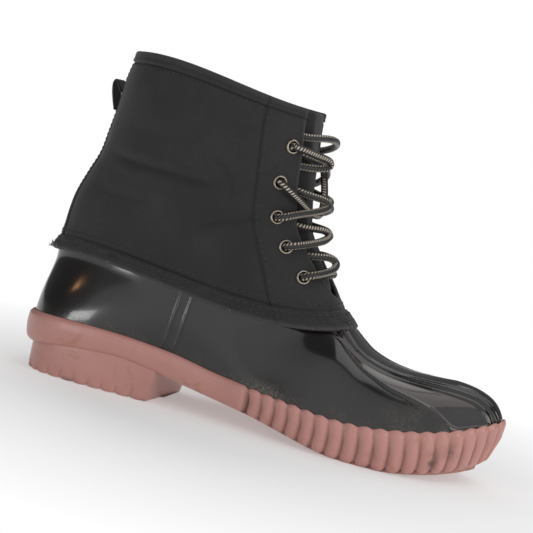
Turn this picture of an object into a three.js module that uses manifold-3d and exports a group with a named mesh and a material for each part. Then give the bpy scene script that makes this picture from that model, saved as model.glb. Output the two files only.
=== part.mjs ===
import * as THREE from "three";
import { mergeVertices } from "three/addons/utils/BufferGeometryUtils.js";
import Module from "manifold-3d";

const wasm = await Module();
wasm.setup();

// Frame: X runs from the heel to the toe, Y from the inner side to the outer side, Z up. Millimetres.

// Foot and sole sizes
const FOOT_LENGTH = 295;
const BALL_INNER = 47;
const BALL_OUTER = 51;
const BAND_TOP = 35.5;
const WAIST_RISE = 21;
const TOE_TUCK = 8;
const LIP_WALL = 2.2;
const SEAT_DEPTH = 4;
const EDGE_ROUND = 2.2;

// Ribs of the forefoot wall
const RIB_COUNT = 19;
const RIB_DEPTH = 1.7;
const RIB_WAVE = 1.3;
const RIB_START = 6.9;
const TREAD_EDGE = 6;

// Heel block
const BREAST = 89;
const BREAST_SKEW = 4;
const BREAST_LEAN = 3;
const HEEL_STEP = 2;
const HEEL_SET = 6.5;
const HEEL_LUGS = 12;
const HEEL_LUG_CUT = 1.3;
const HEEL_GRIP = 4;

// Shell and upper sizes
const FIT_GAP = 0.3;
const SHELL_WALL = 2.5;
const VAMP_HEIGHT = 55;
const SHELL_SWELL = 5;
const SHELL_TUCK = 0.95;
const LEATHER = 2;
const SHAFT_LENGTH = 190;
const SHAFT_HEIGHT = 197;
const SHAFT_INNER = 46;
const SHAFT_OUTER = 47;
const RING_SAG = 10;
const HEM_BAND = 0.74;
const HEM_STEP = 0.9;
const COLLAR_BAND = 0.35;
const COLLAR_STEP = 0.5;
const STAY_STEP = 0.8;
const STAY_WIDTH = 0.07;
const FACING_STEP = 0.6;
const FACING_SEAM = 0.668;

// Throat, tongue, lace and trim
const THROAT_BOTTOM = 84;
const THROAT_HALF = 24;
const TONGUE_THICK = 3.5;
const TONGUE_SINK = 5.4;
const TONGUE_START = 0.5;
const TONGUE_SPREAD = 0.27;
const EYELET_HOLE = 5.5;
const EYELET_WALL = 0.5;
const EYELET_FLANGE = 8.6;
const EYELET_LIP = 0.9;
const LACE = 3.4;
const INSOLE_THICK = 4;
const LOOP_LEVEL = 7.45;
const LOOP_HEIGHT = 18;
const LOOP_REACH = 7;
const LOOP_WIDTH = 13;
const LOOP_WALL = 1.6;

// Foot sections from the heel back to the toe tip
const FOOT = [
  { along: 0.005, inner: 0, outer: 0, top: 0.944, under: 0.71, tuck: 0.2, turn: 0 },
  { along: 0.017, inner: 0.35, outer: 0.33, top: 0.963, under: 0.73, tuck: 0.2, turn: 0.09 },
  { along: 0.064, inner: 0.63, outer: 0.59, top: 0.986, under: 0.8, tuck: 0.2, turn: 0.187 },
  { along: 0.142, inner: 0.72, outer: 0.68, top: 1.003, under: 0.94, tuck: 0.2, turn: 0.32 },
  { along: 0.237, inner: 0.71, outer: 0.705, top: 0.986, under: 1.005, tuck: 0.2, turn: 0.435 },
  { along: 0.339, inner: 0.68, outer: 0.755, top: 0.91, under: 0.8, tuck: 0.2, turn: 0.51 },
  { along: 0.434, inner: 0.71, outer: 0.84, top: 0.783, under: 0.6, tuck: 0.2, turn: 0.585 },
  { along: 0.515, inner: 0.8, outer: 0.92, top: 0.721, under: 0.45, tuck: 0.2, turn: 0.655 },
  { along: 0.583, inner: 0.9, outer: 0.98, top: 0.685, under: 0.285, tuck: 0.2, turn: 0.73 },
  { along: 0.637, inner: 0.965, outer: 1, top: 0.656, under: 0.14, tuck: 0.2, turn: 0.83 },
  { along: 0.685, inner: 1, outer: 1, top: 0.637, under: 0.035, tuck: 0.2, turn: 1 },
  { along: 0.739, inner: 1, outer: 0.975, top: 0.648, under: 0, tuck: 0.2, turn: 1 },
  { along: 0.8, inner: 0.965, outer: 0.925, top: 0.704, under: 0, tuck: 0.22, turn: 1 },
  { along: 0.864, inner: 0.86, outer: 0.83, top: 0.797, under: 0.12, tuck: 0.28, turn: 1 },
  { along: 0.922, inner: 0.68, outer: 0.665, top: 0.915, under: 0.3, tuck: 0.4, turn: 1 },
  { along: 0.973, inner: 0.4, outer: 0.4, top: 1.07, under: 0.5, tuck: 0.75, turn: 1 },
  { along: 1, inner: 0.05, outer: 0.05, top: 1.155, under: 0.62, tuck: 1, turn: 1 },
];

// Shell profile at the same sections: its handles, and its crest from the hem's front to the toe
const SHELL = [
  { rise: 0.33, swell: 0.2, crown: 0, drop: 0.33, sweep: 1, crest: 0, height: 0 },
  { rise: 0.33, swell: 0.3, crown: 0, drop: 0.33, sweep: 1, crest: 0, height: 0 },
  { rise: 0.35, swell: 0.4, crown: 0, drop: 0.33, sweep: 1, crest: 0, height: 0 },
  { rise: 0.35, swell: 0.4, crown: 0, drop: 0.33, sweep: 1, crest: 0, height: 0 },
  { rise: 0.35, swell: 0.4, crown: 0, drop: 0.33, sweep: 1, crest: 0, height: 0 },
  { rise: 0.38, swell: 0.4, crown: 0, drop: 0.35, sweep: 1, crest: 0, height: 0 },
  { rise: 0.42, swell: 0.4, crown: 0.05, drop: 0.33, sweep: 1, crest: 0, height: 0 },
  { rise: 0.46, swell: 0.3, crown: 0.12, drop: 0.3, sweep: 0.9, crest: 0, height: 0 },
  { rise: 0.5, swell: 0.2, crown: 0.25, drop: 0.2, sweep: 0.6, crest: 0, height: 0 },
  { rise: 0.56, swell: 0.1, crown: 0.42, drop: 0.08, sweep: 0.2, crest: 0, height: 0 },
  { rise: 0.6, swell: 0, crown: 0.52, drop: 0, sweep: 0, crest: 0, height: 0 },
  { rise: 0.62, swell: 0, crown: 0.57, drop: 0, sweep: 0, crest: 0.094, height: 1.1 },
  { rise: 0.63, swell: 0, crown: 0.6, drop: 0, sweep: 0, crest: 0.218, height: 1.005 },
  { rise: 0.63, swell: 0, crown: 0.62, drop: 0, sweep: 0.3, crest: 0.351, height: 0.965 },
  { rise: 0.62, swell: 0, crown: 0.62, drop: 0, sweep: 0.6, crest: 0.478, height: 0.97 },
  { rise: 0.62, swell: 0, crown: 0.62, drop: 0, sweep: 0.85, crest: 0.581, height: 0.985 },
  { rise: 0.62, swell: 0, crown: 0.62, drop: 0, sweep: 1, crest: 0.64, height: 0.995 },
];

// Shaft rings from the hem to the collar: back and front points, half widths, roundness and sag
const SHAFT = [
  { back: 0.033, low: 0.368, front: 1.032, high: 0.358, inner: 0.74, outer: 0.79,
    nose: 2.6, arch: -0.3, pitch: -1.1, outerArch: -0.3, outerPitch: -1.1 },
  { back: 0.048, low: 0.426, front: 0.971, high: 0.414, inner: 0.74, outer: 0.78,
    nose: 2.6, arch: -0.2, pitch: -0.8, outerArch: -0.2, outerPitch: -0.8 },
  { back: 0.054, low: 0.487, front: 0.926, high: 0.477, inner: 0.75, outer: 0.78,
    nose: 2.6, arch: -0.1, pitch: -0.5, outerArch: -0.1, outerPitch: -0.5 },
  { back: 0.066, low: 0.548, front: 0.882, high: 0.538, inner: 0.77, outer: 0.79,
    nose: 2.55, arch: 0, pitch: -0.2, outerArch: 0, outerPitch: -0.2 },
  { back: 0.092, low: 0.619, front: 0.84, high: 0.604, inner: 0.81, outer: 0.82,
    nose: 2.5, arch: 0, pitch: -0.1, outerArch: 0, outerPitch: -0.1 },
  { back: 0.121, low: 0.69, front: 0.821, high: 0.675, inner: 0.855, outer: 0.86,
    nose: 2.5, arch: 0, pitch: 0, outerArch: 0, outerPitch: 0 },
  { back: 0.132, low: 0.761, front: 0.811, high: 0.746, inner: 0.9, outer: 0.9,
    nose: 2.5, arch: 0.05, pitch: -0.1, outerArch: 0, outerPitch: -0.1 },
  { back: 0.142, low: 0.838, front: 0.8, high: 0.817, inner: 0.945, outer: 0.945,
    nose: 2.5, arch: 0.1, pitch: -0.2, outerArch: 0, outerPitch: -0.15 },
  { back: 0.152, low: 0.919, front: 0.79, high: 0.883, inner: 0.98, outer: 0.98,
    nose: 2.5, arch: 0.2, pitch: -0.3, outerArch: 0, outerPitch: -0.2 },
  { back: 0.168, low: 1, front: 0.788, high: 0.949, inner: 1, outer: 1,
    nose: 2.5, arch: 0.3, pitch: -0.4, outerArch: -0.05, outerPitch: -0.25 },
];

// Half width of the throat from its bottom to the collar
const THROAT = [
  { rise: 0, half: 0.05 },
  { rise: 0.02, half: 0.35 },
  { rise: 0.06, half: 0.52 },
  { rise: 0.13, half: 0.7 },
  { rise: 0.24, half: 0.82 },
  { rise: 0.38, half: 0.92 },
  { rise: 0.55, half: 1 },
  { rise: 0.75, half: 1.02 },
  { rise: 1.2, half: 1.25 },
];

// Eyelets of one facing from the collar down: ring level and turn from the back
const EYELETS = [
  { level: 7.3, turn: 0.793 },
  { level: 5.75, turn: 0.7525 },
  { level: 4.35, turn: 0.7538 },
  { level: 3.2, turn: 0.7676 },
  { level: 2.05, turn: 0.8027 },
];

const HALF = FOOT.length - 1;
const LOOP = 2 * HALF;
const TOP_RING = SHAFT.length - 1;
const THROAT_AT = FOOT.findIndex((row) => row.turn === 1);

// Curves through table rows
function spline(a, b, c, d, t) {
  return b + 0.5 * t * (c - a + t * (2 * a - 5 * b + 4 * c - d + t * (3 * (b - c) + d - a)));
}

function around(value, u) {
  const j = Math.floor(u);
  return spline(value(j - 1), value(j), value(j + 1), value(j + 2), u - j);
}

function footRow(table, j) {
  const n = ((j % LOOP) + LOOP) % LOOP;
  return table[n <= HALF ? n : LOOP - n];
}

function isInner(j) {
  return ((j % LOOP) + LOOP) % LOOP <= HALF;
}

function foot(key, u) {
  return around((j) => footRow(FOOT, j)[key], u);
}

function shellKey(key, u) {
  return around((j) => footRow(SHELL, j)[key], u);
}

// Plan outline of the sole, inset by a distance
function outlineAt(u) {
  const x = FOOT_LENGTH * foot("along", u);
  const y = around((j) => {
    const row = footRow(FOOT, j);
    return isInner(j) ? -row.inner * BALL_INNER : row.outer * BALL_OUTER;
  }, u);
  return [x, y];
}

function outlineNormal(u) {
  const [ax, ay] = outlineAt(u - 0.05);
  const [bx, by] = outlineAt(u + 0.05);
  const size = Math.hypot(bx - ax, by - ay);
  return [(by - ay) / size, (ax - bx) / size];
}

function outline(u, inset) {
  const [x, y] = outlineAt(u);
  const [nx, ny] = outlineNormal(u);
  return [x - nx * inset, y - ny * inset];
}

function topAt(u) {
  return BAND_TOP * foot("top", u);
}

// Section whose outline passes a place along the foot
function sectionAt(x) {
  let low = 0;
  let high = HALF;
  for (let n = 0; n < 30; n += 1) {
    const mid = (low + high) / 2;
    if (outlineAt(mid)[0] < x) {
      low = mid;
    } else {
      high = mid;
    }
  }
  return low;
}

// Heights of the seat line and of the tread at a place along the foot, level from side to side
function topOver(x) {
  return topAt(sectionAt(x));
}

function underAt(u) {
  return Math.max(0, WAIST_RISE * foot("under", u));
}

function underOver(x) {
  return underAt(sectionAt(x));
}

function tuckAt(u) {
  return TOE_TUCK * foot("tuck", u);
}

// Arc length of the outline from the heel back, for the ribs and lugs
const ARC_STEP = 0.05;
const ARCS = [0];
for (let n = 1; n * ARC_STEP <= LOOP + 1e-9; n += 1) {
  const [ax, ay] = outlineAt((n - 1) * ARC_STEP);
  const [bx, by] = outlineAt(n * ARC_STEP);
  ARCS.push(ARCS[n - 1] + Math.hypot(bx - ax, by - ay));
}

function arcAt(u) {
  const n = Math.min(Math.floor(u / ARC_STEP), ARCS.length - 2);
  return ARCS[n] + (ARCS[n + 1] - ARCS[n]) * (u / ARC_STEP - n);
}

function atArc(arc) {
  let n = ARCS.findIndex((value) => value > arc) - 1;
  if (n < 0) {
    n = ARCS.length - 2;
  }
  return ARC_STEP * (n + (arc - ARCS[n]) / (ARCS[n + 1] - ARCS[n]));
}

// Positions along one arc in equal ribs, with a groove at each end
const RIB_SAMPLES = [0, 0.26, 0.74];
const LUG_SAMPLES = [0, 0.25, 0.75];

function ribColumns(from, to, count, samples = RIB_SAMPLES) {
  const start = arcAt(from);
  const pitch = (arcAt(to) - start) / count;
  const out = [];
  for (let n = 0; n < count; n += 1) {
    for (const share of samples) {
      out.push({ u: atArc(start + pitch * (n + share)), groove: 1 - Math.sin(Math.PI * share) ** 0.6 });
    }
  }
  return out;
}

function plainColumns(from, to, count) {
  const out = [];
  for (let n = 0; n < count; n += 1) {
    out.push({ u: from + ((to - from) * n) / count, groove: 0 });
  }
  return out;
}

// Solids from closed loops of points, capped by ladders across the foot
function stack(loops) {
  const count = loops[0].length;
  const points = loops.flat();
  const faces = [];
  const id = (ring, n) => ring * count + ((n + count) % count);
  for (let ring = 0; ring + 1 < loops.length; ring += 1) {
    for (let n = 0; n < count; n += 1) {
      faces.push([id(ring, n), id(ring, n + 1), id(ring + 1, n + 1)]);
      faces.push([id(ring, n), id(ring + 1, n + 1), id(ring + 1, n)]);
    }
  }
  const last = loops.length - 1;
  for (let n = 0; n < count / 2; n += 1) {
    for (const [ring, flip] of [[0, true], [last, false]]) {
      const quad = [id(ring, n), id(ring, n + 1), id(ring, -n - 1), id(ring, -n)];
      for (const face of [[quad[0], quad[1], quad[2]], [quad[0], quad[2], quad[3]]]) {
        if (new Set(face).size === 3) {
          faces.push(flip ? [face[0], face[2], face[1]] : face);
        }
      }
    }
  }
  return solid(points, faces);
}

function solid(points, faces) {
  const mesh = new wasm.Mesh({
    numProp: 3,
    vertProperties: new Float32Array(points.flat()),
    triVerts: new Uint32Array(faces.flat()),
  });
  mesh.merge();
  return new wasm.Manifold(mesh);
}

function fromGeometry(geometry) {
  const plain = geometry.index ? geometry.toNonIndexed() : geometry;
  plain.deleteAttribute("normal");
  plain.deleteAttribute("uv");
  const merged = mergeVertices(plain, 1e-4);
  return new wasm.Manifold(new wasm.Mesh({
    numProp: 3,
    vertProperties: new Float32Array(merged.attributes.position.array),
    triVerts: new Uint32Array(merged.index.array),
  }));
}

// Closed wall between an outer and an inner skin that share their faces
class Skin {
  constructor() {
    this.ids = new Map();
    this.outer = [];
    this.inner = [];
    this.faces = [];
  }

  point(key, outer, inner) {
    if (!this.ids.has(key)) {
      this.ids.set(key, this.outer.length);
      this.outer.push(outer);
      this.inner.push(inner);
    }
    return this.ids.get(key);
  }

  // Two faces, split along the shorter diagonal
  quad(a, b, c, d) {
    const length = (n, m) => Math.hypot(...this.outer[n].map((value, k) => value - this.outer[m][k]));
    const split = length(a, c) <= length(b, d) ? [[a, b, c], [a, c, d]] : [[a, b, d], [b, c, d]];
    for (const face of split) {
      if (new Set(face).size === 3) {
        this.faces.push(face);
      }
    }
  }

  normals() {
    const sums = this.outer.map(() => new THREE.Vector3());
    for (const face of this.faces) {
      const [a, b, c] = face.map((n) => new THREE.Vector3(...this.outer[n]));
      const normal = b.sub(a).cross(c.sub(a));
      face.forEach((n) => sums[n].add(normal));
    }
    return sums.map((normal) => normal.normalize());
  }

  close() {
    const shift = this.outer.length;
    const faces = [...this.faces, ...this.faces.map(([a, b, c]) => [a + shift, c + shift, b + shift])];
    const edges = new Set(this.faces.flatMap(([a, b, c]) => [`${a}_${b}`, `${b}_${c}`, `${c}_${a}`]));
    for (const edge of edges) {
      const [a, b] = edge.split("_").map(Number);
      if (!edges.has(`${b}_${a}`)) {
        faces.push([b, a, a + shift], [b, a + shift, b + shift]);
      }
    }
    return solid([...this.outer, ...this.inner], faces);
  }
}

// Shaft surface: ring level from the hem up, turn from -1 over the inner side, 0 at the back, to 1
function ringValue(key, level) {
  const at = (j) => SHAFT[Math.min(Math.max(j, 0), TOP_RING)][key];
  const last = TOP_RING;
  const value = (j) => {
    if (j < 0) {
      return 2 * at(0) - at(-j);
    }
    return j > last ? 2 * at(last) - at(2 * last - j) : at(j);
  };
  return around(value, level);
}

function shaftBase(level, turn) {
  const back = ringValue("back", level) * SHAFT_LENGTH;
  const front = ringValue("front", level) * SHAFT_LENGTH;
  const low = ringValue("low", level) * SHAFT_HEIGHT;
  const high = ringValue("high", level) * SHAFT_HEIGHT;
  const centre = (back + front) / 2;
  const reach = (front - back) / 2;
  const c = Math.cos(Math.PI * turn);
  const s = Math.sin(Math.PI * turn);
  const power = 2 / (c > 0 ? 2.2 : ringValue("nose", level));
  const share = -Math.sign(c) * Math.abs(c) ** power;
  const half = s < 0 ? SHAFT_INNER * ringValue("inner", level) : SHAFT_OUTER * ringValue("outer", level);
  const blend = 0.5 - 0.5 * s;
  const arch = blend * ringValue("arch", level) + (1 - blend) * ringValue("outerArch", level);
  const pitch = blend * ringValue("pitch", level) + (1 - blend) * ringValue("outerPitch", level);
  const lift = RING_SAG * (1 - share * share) * (arch + share * pitch);
  return new THREE.Vector3(
    centre + reach * share,
    Math.sign(s) * half * Math.abs(s) ** power,
    low + (high - low) * (share + 1) * 0.5 + lift,
  );
}

function shaftNormal(level, turn) {
  const step = 0.012;
  const across = shaftBase(level, turn + step).sub(shaftBase(level, turn - step));
  const up = shaftBase(level + 0.1, turn).sub(shaftBase(level - 0.1, turn));
  return up.cross(across).normalize();
}

function shaft(level, turn, out) {
  return shaftBase(level, turn).addScaledVector(shaftNormal(level, turn), out);
}

// Outsole: band, lip and ribbed forefoot wall
const SEAT_INSET = LIP_WALL;
const RIB_END = HALF;
const rearSections = sideTurns(0).map(sectionOf).filter((u) => u < RIB_START - 0.05);
const soleColumns = [
  ...rearSections.map((u) => ({ u, groove: 0 })),
  ...ribColumns(RIB_START, RIB_END, RIB_COUNT),
  ...ribColumns(RIB_END, LOOP - RIB_START, RIB_COUNT),
  { u: LOOP - RIB_START, groove: 1 },
  ...rearSections.slice(1).reverse().map((u) => ({ u: LOOP - u, groove: 0 })),
];

const SOLE_WALL = [
  { rise: 0, round: 0, tuck: 1, edge: 0, cut: 0, flat: true },
  { rise: 0, round: 0, tuck: 1, edge: 0.8, cut: 1 },
  { rise: 0, round: 1, tuck: 0.6, edge: 0.1, cut: 1 },
  { rise: 0.6, round: 0, tuck: 0.1, edge: 0, cut: 1 },
  { rise: 1, round: 0, tuck: 0, edge: 0.25, cut: 0.35 },
];

function soleRing(row) {
  return soleColumns.map(({ u, groove }) => {
    if (row.flat) {
      const [x, y] = outline(u, row.tuck * tuckAt(u) + TREAD_EDGE);
      return [x, y, underOver(x)];
    }
    const inset = row.tuck * tuckAt(u) + row.edge * EDGE_ROUND + row.cut * RIB_DEPTH * groove;
    const [x, y] = outline(u, inset);
    const low = underAt(u);
    const wave = row.rise === 1 ? -RIB_WAVE * groove : 0;
    const lug = row.rise === 0 ? RIB_WAVE * groove * (1 - row.round) : 0;
    return [x, y, low + row.rise * (topAt(u) - low) + row.round * EDGE_ROUND + wave + lug];
  });
}

function seatRing(drop) {
  return soleColumns.map(({ u }) => {
    const [x, y] = outline(u, SEAT_INSET);
    return [x, y, (drop > RIB_WAVE ? topOver(x) : topAt(u)) - drop];
  });
}

function makeSole() {
  const band = stack([...SOLE_WALL.map(soleRing), seatRing(RIB_WAVE), seatRing(SEAT_DEPTH)]);
  return band.add(makeHeelBlock());
}

// Heel block: set in under the band, with lug notches along its bottom edge
function makeHeelBlock() {
  const fore = atBreast();
  const inner = ribColumns(0, fore, HEEL_LUGS, LUG_SAMPLES);
  inner.push({ u: fore, groove: 0 });
  const outer = ribColumns(LOOP - fore, LOOP, HEEL_LUGS, LUG_SAMPLES);
  outer[0].groove = 0;
  const columns = [...inner, ...outer];
  const ring = (rise, cut, edge, lean) => columns.map(({ u, groove }) => {
    const near = Math.min(u, LOOP - u);
    const back = Math.max(0, 1 - near / 2.6);
    const set = HEEL_STEP + (HEEL_SET - HEEL_STEP) * back * back * (3 - 2 * back);
    const [x, y] = outline(u, set + edge + cut * groove * 0.6);
    const skew = (BREAST_SKEW * (y + BALL_INNER)) / (BALL_INNER + BALL_OUTER);
    const end = near > fore - 0.4 ? skew + lean : 0;
    return [x + end, y, rise(u) + cut * groove];
  });
  const top = (u) => underAt(u) + HEEL_GRIP;
  return stack([
    ring(() => 0, 0, TREAD_EDGE, 0),
    ring(() => 0, HEEL_LUG_CUT, 1.2, 0),
    ring(() => 1.8, HEEL_LUG_CUT * 0.5, 0, 0),
    ring(() => 4.5, 0, 0, BREAST_LEAN * 0.2),
    ring((u) => underAt(u) - 1, 0, 0, BREAST_LEAN),
    ring(top, 0, 0.6, BREAST_LEAN + 1),
  ]);
}

function atBreast() {
  let u = 2;
  while (outlineAt(u)[0] < BREAST) {
    u += 0.01;
  }
  return u;
}

// Columns of the shaft on one side, as turns from the back
function sideTurns(level) {
  const stay = STAY_WIDTH * (1 - 0.45 * (level / TOP_RING));
  const seam = FACING_SEAM;
  const edge = 0.002;
  return [
    0, stay * 0.5, stay, stay + edge, 0.13, 0.2, 0.28, 0.36, 0.44, 0.52, 0.6,
    seam - edge, seam, 0.72, 0.77, 0.82, 0.88, 0.94, 1,
  ];
}

const STAY_COLUMN = 2;
const SEAM_COLUMN = 12;

function shaftColumns() {
  const count = sideTurns(0).length - 1;
  const out = [];
  for (let n = -count; n < count; n += 1) {
    out.push(n);
  }
  return { count, list: out };
}

function turnOf(column, level) {
  return Math.sign(column) * sideTurns(level)[Math.abs(column)];
}

// Foot section where the shell's top edge meets a turn of the hem
function sectionOf(turn) {
  if (turn >= 1) {
    return THROAT_AT;
  }
  let low = 0;
  let high = THROAT_AT;
  for (let n = 0; n < 40; n += 1) {
    const mid = (low + high) / 2;
    if (foot("turn", mid) < turn) {
      low = mid;
    } else {
      high = mid;
    }
  }
  return (low + high) / 2;
}

// Shell: rubber foot from the seat to under the hem, closed over the toe
const SHELL_ROWS = [0, 0.18, 0.36, 0.53, 0.69, 0.84, 1];
const SHELL_FRONT = [10.4, 10.9, 11.5, 12.2, 12.9, 13.6, 14.2, 14.7, 15.1, 15.4, 15.7];
const HEM_SINK = -(LEATHER + FIT_GAP);

function crestAt(u) {
  const near = Math.min(u, LOOP - u);
  const start = shaft(0, 1, HEM_SINK);
  const reach = FOOT_LENGTH - start.x;
  const value = (place, first) => around((j) => {
    if (j > THROAT_AT) {
      return place(footRow(SHELL, j));
    }
    return first + (THROAT_AT - j) * (first - place(SHELL[THROAT_AT + 1]));
  }, near);
  const x = value(({ crest }) => start.x + crest * reach, start.x);
  return new THREE.Vector3(x, 0, value(({ height }) => height * VAMP_HEIGHT, start.z));
}

function shellColumn(u, turn) {
  const inner = isInner(u);
  const near = Math.min(u, LOOP - u);
  const [x, y] = outline(u, SEAT_INSET + FIT_GAP);
  const base = new THREE.Vector3(x, y, topOver(x) - SEAT_DEPTH + FIT_GAP);
  const top = near < THROAT_AT ? shaft(0, inner ? -turn : turn, HEM_SINK) : crestAt(u);
  const [nx, ny] = outlineNormal(u);
  const height = top.z - base.z;
  const width = Math.hypot(top.x - base.x, top.y - base.y);
  const sweep = shellKey("sweep", u);
  const side = inner ? -1 : 1;
  const out = new THREE.Vector3(nx * sweep, side * (1 - sweep) + ny * sweep, 0).normalize();
  const swell = shellKey("swell", u) * SHELL_SWELL;
  const first = base.clone().add(new THREE.Vector3(nx * swell, ny * swell, shellKey("rise", u) * height));
  const second = top.clone().addScaledVector(out, shellKey("crown", u) * width);
  second.z -= shellKey("drop", u) * height;
  const curve = new THREE.CubicBezierCurve3(base, first, second, top);
  return SHELL_ROWS.map((v) => curve.getPoint(v));
}

function shellSkin() {
  const skin = new Skin();
  const { count } = shaftColumns();
  const rear = [];
  for (let n = 0; n <= count; n += 1) {
    const turn = sideTurns(0)[n];
    rear.push({ u: sectionOf(turn), turn, tag: n });
  }
  const half = [...rear, ...SHELL_FRONT.map((u, n) => ({ u, turn: 1, tag: count + 1 + n }))];
  const tip = { u: HALF, turn: 1, tag: count + 1 + SHELL_FRONT.length, side: 0 };
  const columns = [
    ...half.map((column) => ({ ...column, side: column.tag === 0 ? 0 : -1 })),
    tip,
    ...half.slice(1).reverse().map((column) => ({ ...column, u: LOOP - column.u, side: 1 })),
  ];
  const last = SHELL_ROWS.length - 1;
  const grid = columns.map(({ u, turn, tag, side }) => shellColumn(u, turn).map((p, v) => {
    const crest = v === last && tag >= count;
    return skin.point(crest ? `crest${tag}` : `${side}_${tag}:${v}`, p.toArray());
  }));
  for (let n = 0; n < columns.length; n += 1) {
    const next = (n + 1) % columns.length;
    for (let v = 0; v < last; v += 1) {
      skin.quad(grid[n][v], grid[next][v], grid[next][v + 1], grid[n][v + 1]);
    }
  }
  const rings = [0, HEM_BAND, SHELL_TUCK];
  const rim = columns.filter(({ tag }) => tag < count);
  const front = { tag: count, side: -1 };
  const loop = [...rim.filter(({ side }) => side <= 0), front, ...rim.filter(({ side }) => side > 0)];
  for (let r = 1; r < rings.length; r += 1) {
    for (let n = 0; n < loop.length; n += 1) {
      const id = (item, ring) => {
        if (ring === 0) {
          const v = last;
          return skin.point(item.tag === count ? `crest${count}` : `${item.side}_${item.tag}:${v}`);
        }
        const turn = item.side * sideTurns(rings[ring])[item.tag];
        const spot = shaft(rings[ring], turn, HEM_SINK).toArray();
        return skin.point(`tuck${item.tag * item.side}:${ring}`, spot);
      };
      const a = loop[n];
      const b = loop[(n + 1) % loop.length];
      skin.quad(id(a, r - 1), id(b, r - 1), id(b, r), id(a, r));
    }
  }
  return skin;
}

// Raised strip over the vamp, its side ridges and the side straps, in plan and in side view
const RAISE = 0.9;
const RIDGE_WIDTH = 3.4;
const STRAP_WIDTH = 8.2;
const STRIP = [
  { along: 0.62, edge: 0.3, ridge: 0.34 },
  { along: 0.645, edge: 0.35, ridge: 0.46 },
  { along: 0.675, edge: 0.4, ridge: 0.55 },
  { along: 0.72, edge: 0.41, ridge: 0.64 },
  { along: 0.78, edge: 0.4, ridge: 0.705 },
  { along: 0.85, edge: 0.38, ridge: 0.7 },
  { along: 0.9, edge: 0.345, ridge: 0.68 },
  { along: 0.935, edge: 0.3, ridge: 0.62 },
  { along: 0.98, edge: 0.25, ridge: 0.5 },
];
const STRAP = { foot: 0.3, head: 0.337, top: 2.3 };

function prism(points, depth, place) {
  const shape = new THREE.Shape(points.map(([a, b]) => new THREE.Vector2(a, b)));
  const geometry = new THREE.ExtrudeGeometry(shape, { depth, bevelEnabled: false, steps: 1 });
  place(geometry);
  return fromGeometry(geometry);
}

function raisedParts() {
  const up = (geometry) => geometry.translate(0, 0, 1);
  const across = (side) => (geometry) => {
    geometry.rotateX(Math.PI / 2);
    geometry.translate(0, side > 0 ? BALL_OUTER + 1 : 0, 0);
  };
  const half = { "-1": BALL_INNER, 1: BALL_OUTER };
  const line = (side, key, shift) => STRIP.map((row) => [
    row.along * FOOT_LENGTH, side * (row[key] * half[side] + shift),
  ]);
  const foot = STRAP.foot * FOOT_LENGTH;
  const head = STRAP.head * FOOT_LENGTH;
  const top = STRAP.top * BAND_TOP;
  const strap = [[foot, 0], [foot + STRAP_WIDTH, 0], [head + STRAP_WIDTH, top], [head, top]];
  let out = prism([...line(-1, "edge", 0), ...line(1, "edge", 0).reverse()], SHAFT_HEIGHT, up);
  for (const side of [-1, 1]) {
    const near = line(side, "ridge", -RIDGE_WIDTH / 2);
    const far = line(side, "ridge", RIDGE_WIDTH / 2).reverse();
    const ridge = side < 0 ? [...far.reverse(), ...near.reverse()] : [...near, ...far];
    out = out.add(prism(ridge, SHAFT_HEIGHT, up)).add(prism(strap, BALL_OUTER, across(side)));
  }
  return out;
}

// What the sole's lip and the hem cover stays plain
function coveredParts() {
  const columns = [...plainColumns(0, HALF, 4 * HALF), ...plainColumns(HALF, LOOP, 4 * HALF)];
  const ring = (rise) => columns.map(({ u }) => [...outline(u, -1), rise * topAt(u) + FIT_GAP]);
  const skin = new Skin();
  const { list, count } = shaftColumns();
  const grid = list.map((column) => [-0.05, 1.6].map((level) => {
    const turn = turnOf(column, 0);
    const outer = shaft(level, turn, RAISE + LEATHER).toArray();
    return skin.point(`${column}:${level}`, outer, shaft(level, turn, 3 * HEM_SINK).toArray());
  }));
  for (let n = 0; n < 2 * count; n += 1) {
    const next = grid[(n + 1) % (2 * count)];
    skin.quad(grid[n][0], grid[n][1], next[1], next[0]);
  }
  return stack([ring(0), ring(1)]).add(skin.close());
}

function raised(skin, normals) {
  const layer = new Skin();
  layer.faces = skin.faces;
  const shift = (out) => skin.outer.map(([x, y, z], n) => [
    x + normals[n].x * out, y + normals[n].y * out, z + normals[n].z * out,
  ]);
  layer.outer = shift(RAISE);
  layer.inner = shift(-SHELL_WALL / 2);
  return layer.close().intersect(raisedParts()).subtract(coveredParts());
}

function makeShell() {
  const skin = shellSkin();
  const normals = skin.normals();
  const floor = new Set();
  skin.ids.forEach((id, key) => {
    if (key.endsWith(":0")) {
      floor.add(id);
    }
  });
  skin.inner = skin.outer.map(([x, y, z], n) => {
    const normal = normals[n];
    const level = floor.has(n);
    const size = level ? Math.hypot(normal.x, normal.y) : 1;
    return [
      x - (normal.x / size) * SHELL_WALL,
      y - (normal.y / size) * SHELL_WALL,
      z - (level ? 0 : normal.z * SHELL_WALL),
    ];
  });
  return skin.close().add(raised(skin, normals));
}

// Upper: leather shaft with hem, collar, backstay and facings as steps of its wall
const EDGE = 0.03;
const SHAFT_LEVELS = [
  0, HEM_BAND, HEM_BAND + EDGE, SHELL_TUCK, 2, 3, 4, 5, 6, 7, 8,
  TOP_RING - COLLAR_BAND - EDGE, TOP_RING - COLLAR_BAND, TOP_RING,
];

function shaftStep(level, column) {
  if (level <= HEM_BAND) {
    return HEM_STEP;
  }
  if (level >= TOP_RING - COLLAR_BAND) {
    return COLLAR_STEP + FACING_STEP;
  }
  if (Math.abs(column) <= STAY_COLUMN) {
    return STAY_STEP;
  }
  return Math.abs(column) >= SEAM_COLUMN ? FACING_STEP : 0;
}

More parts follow.
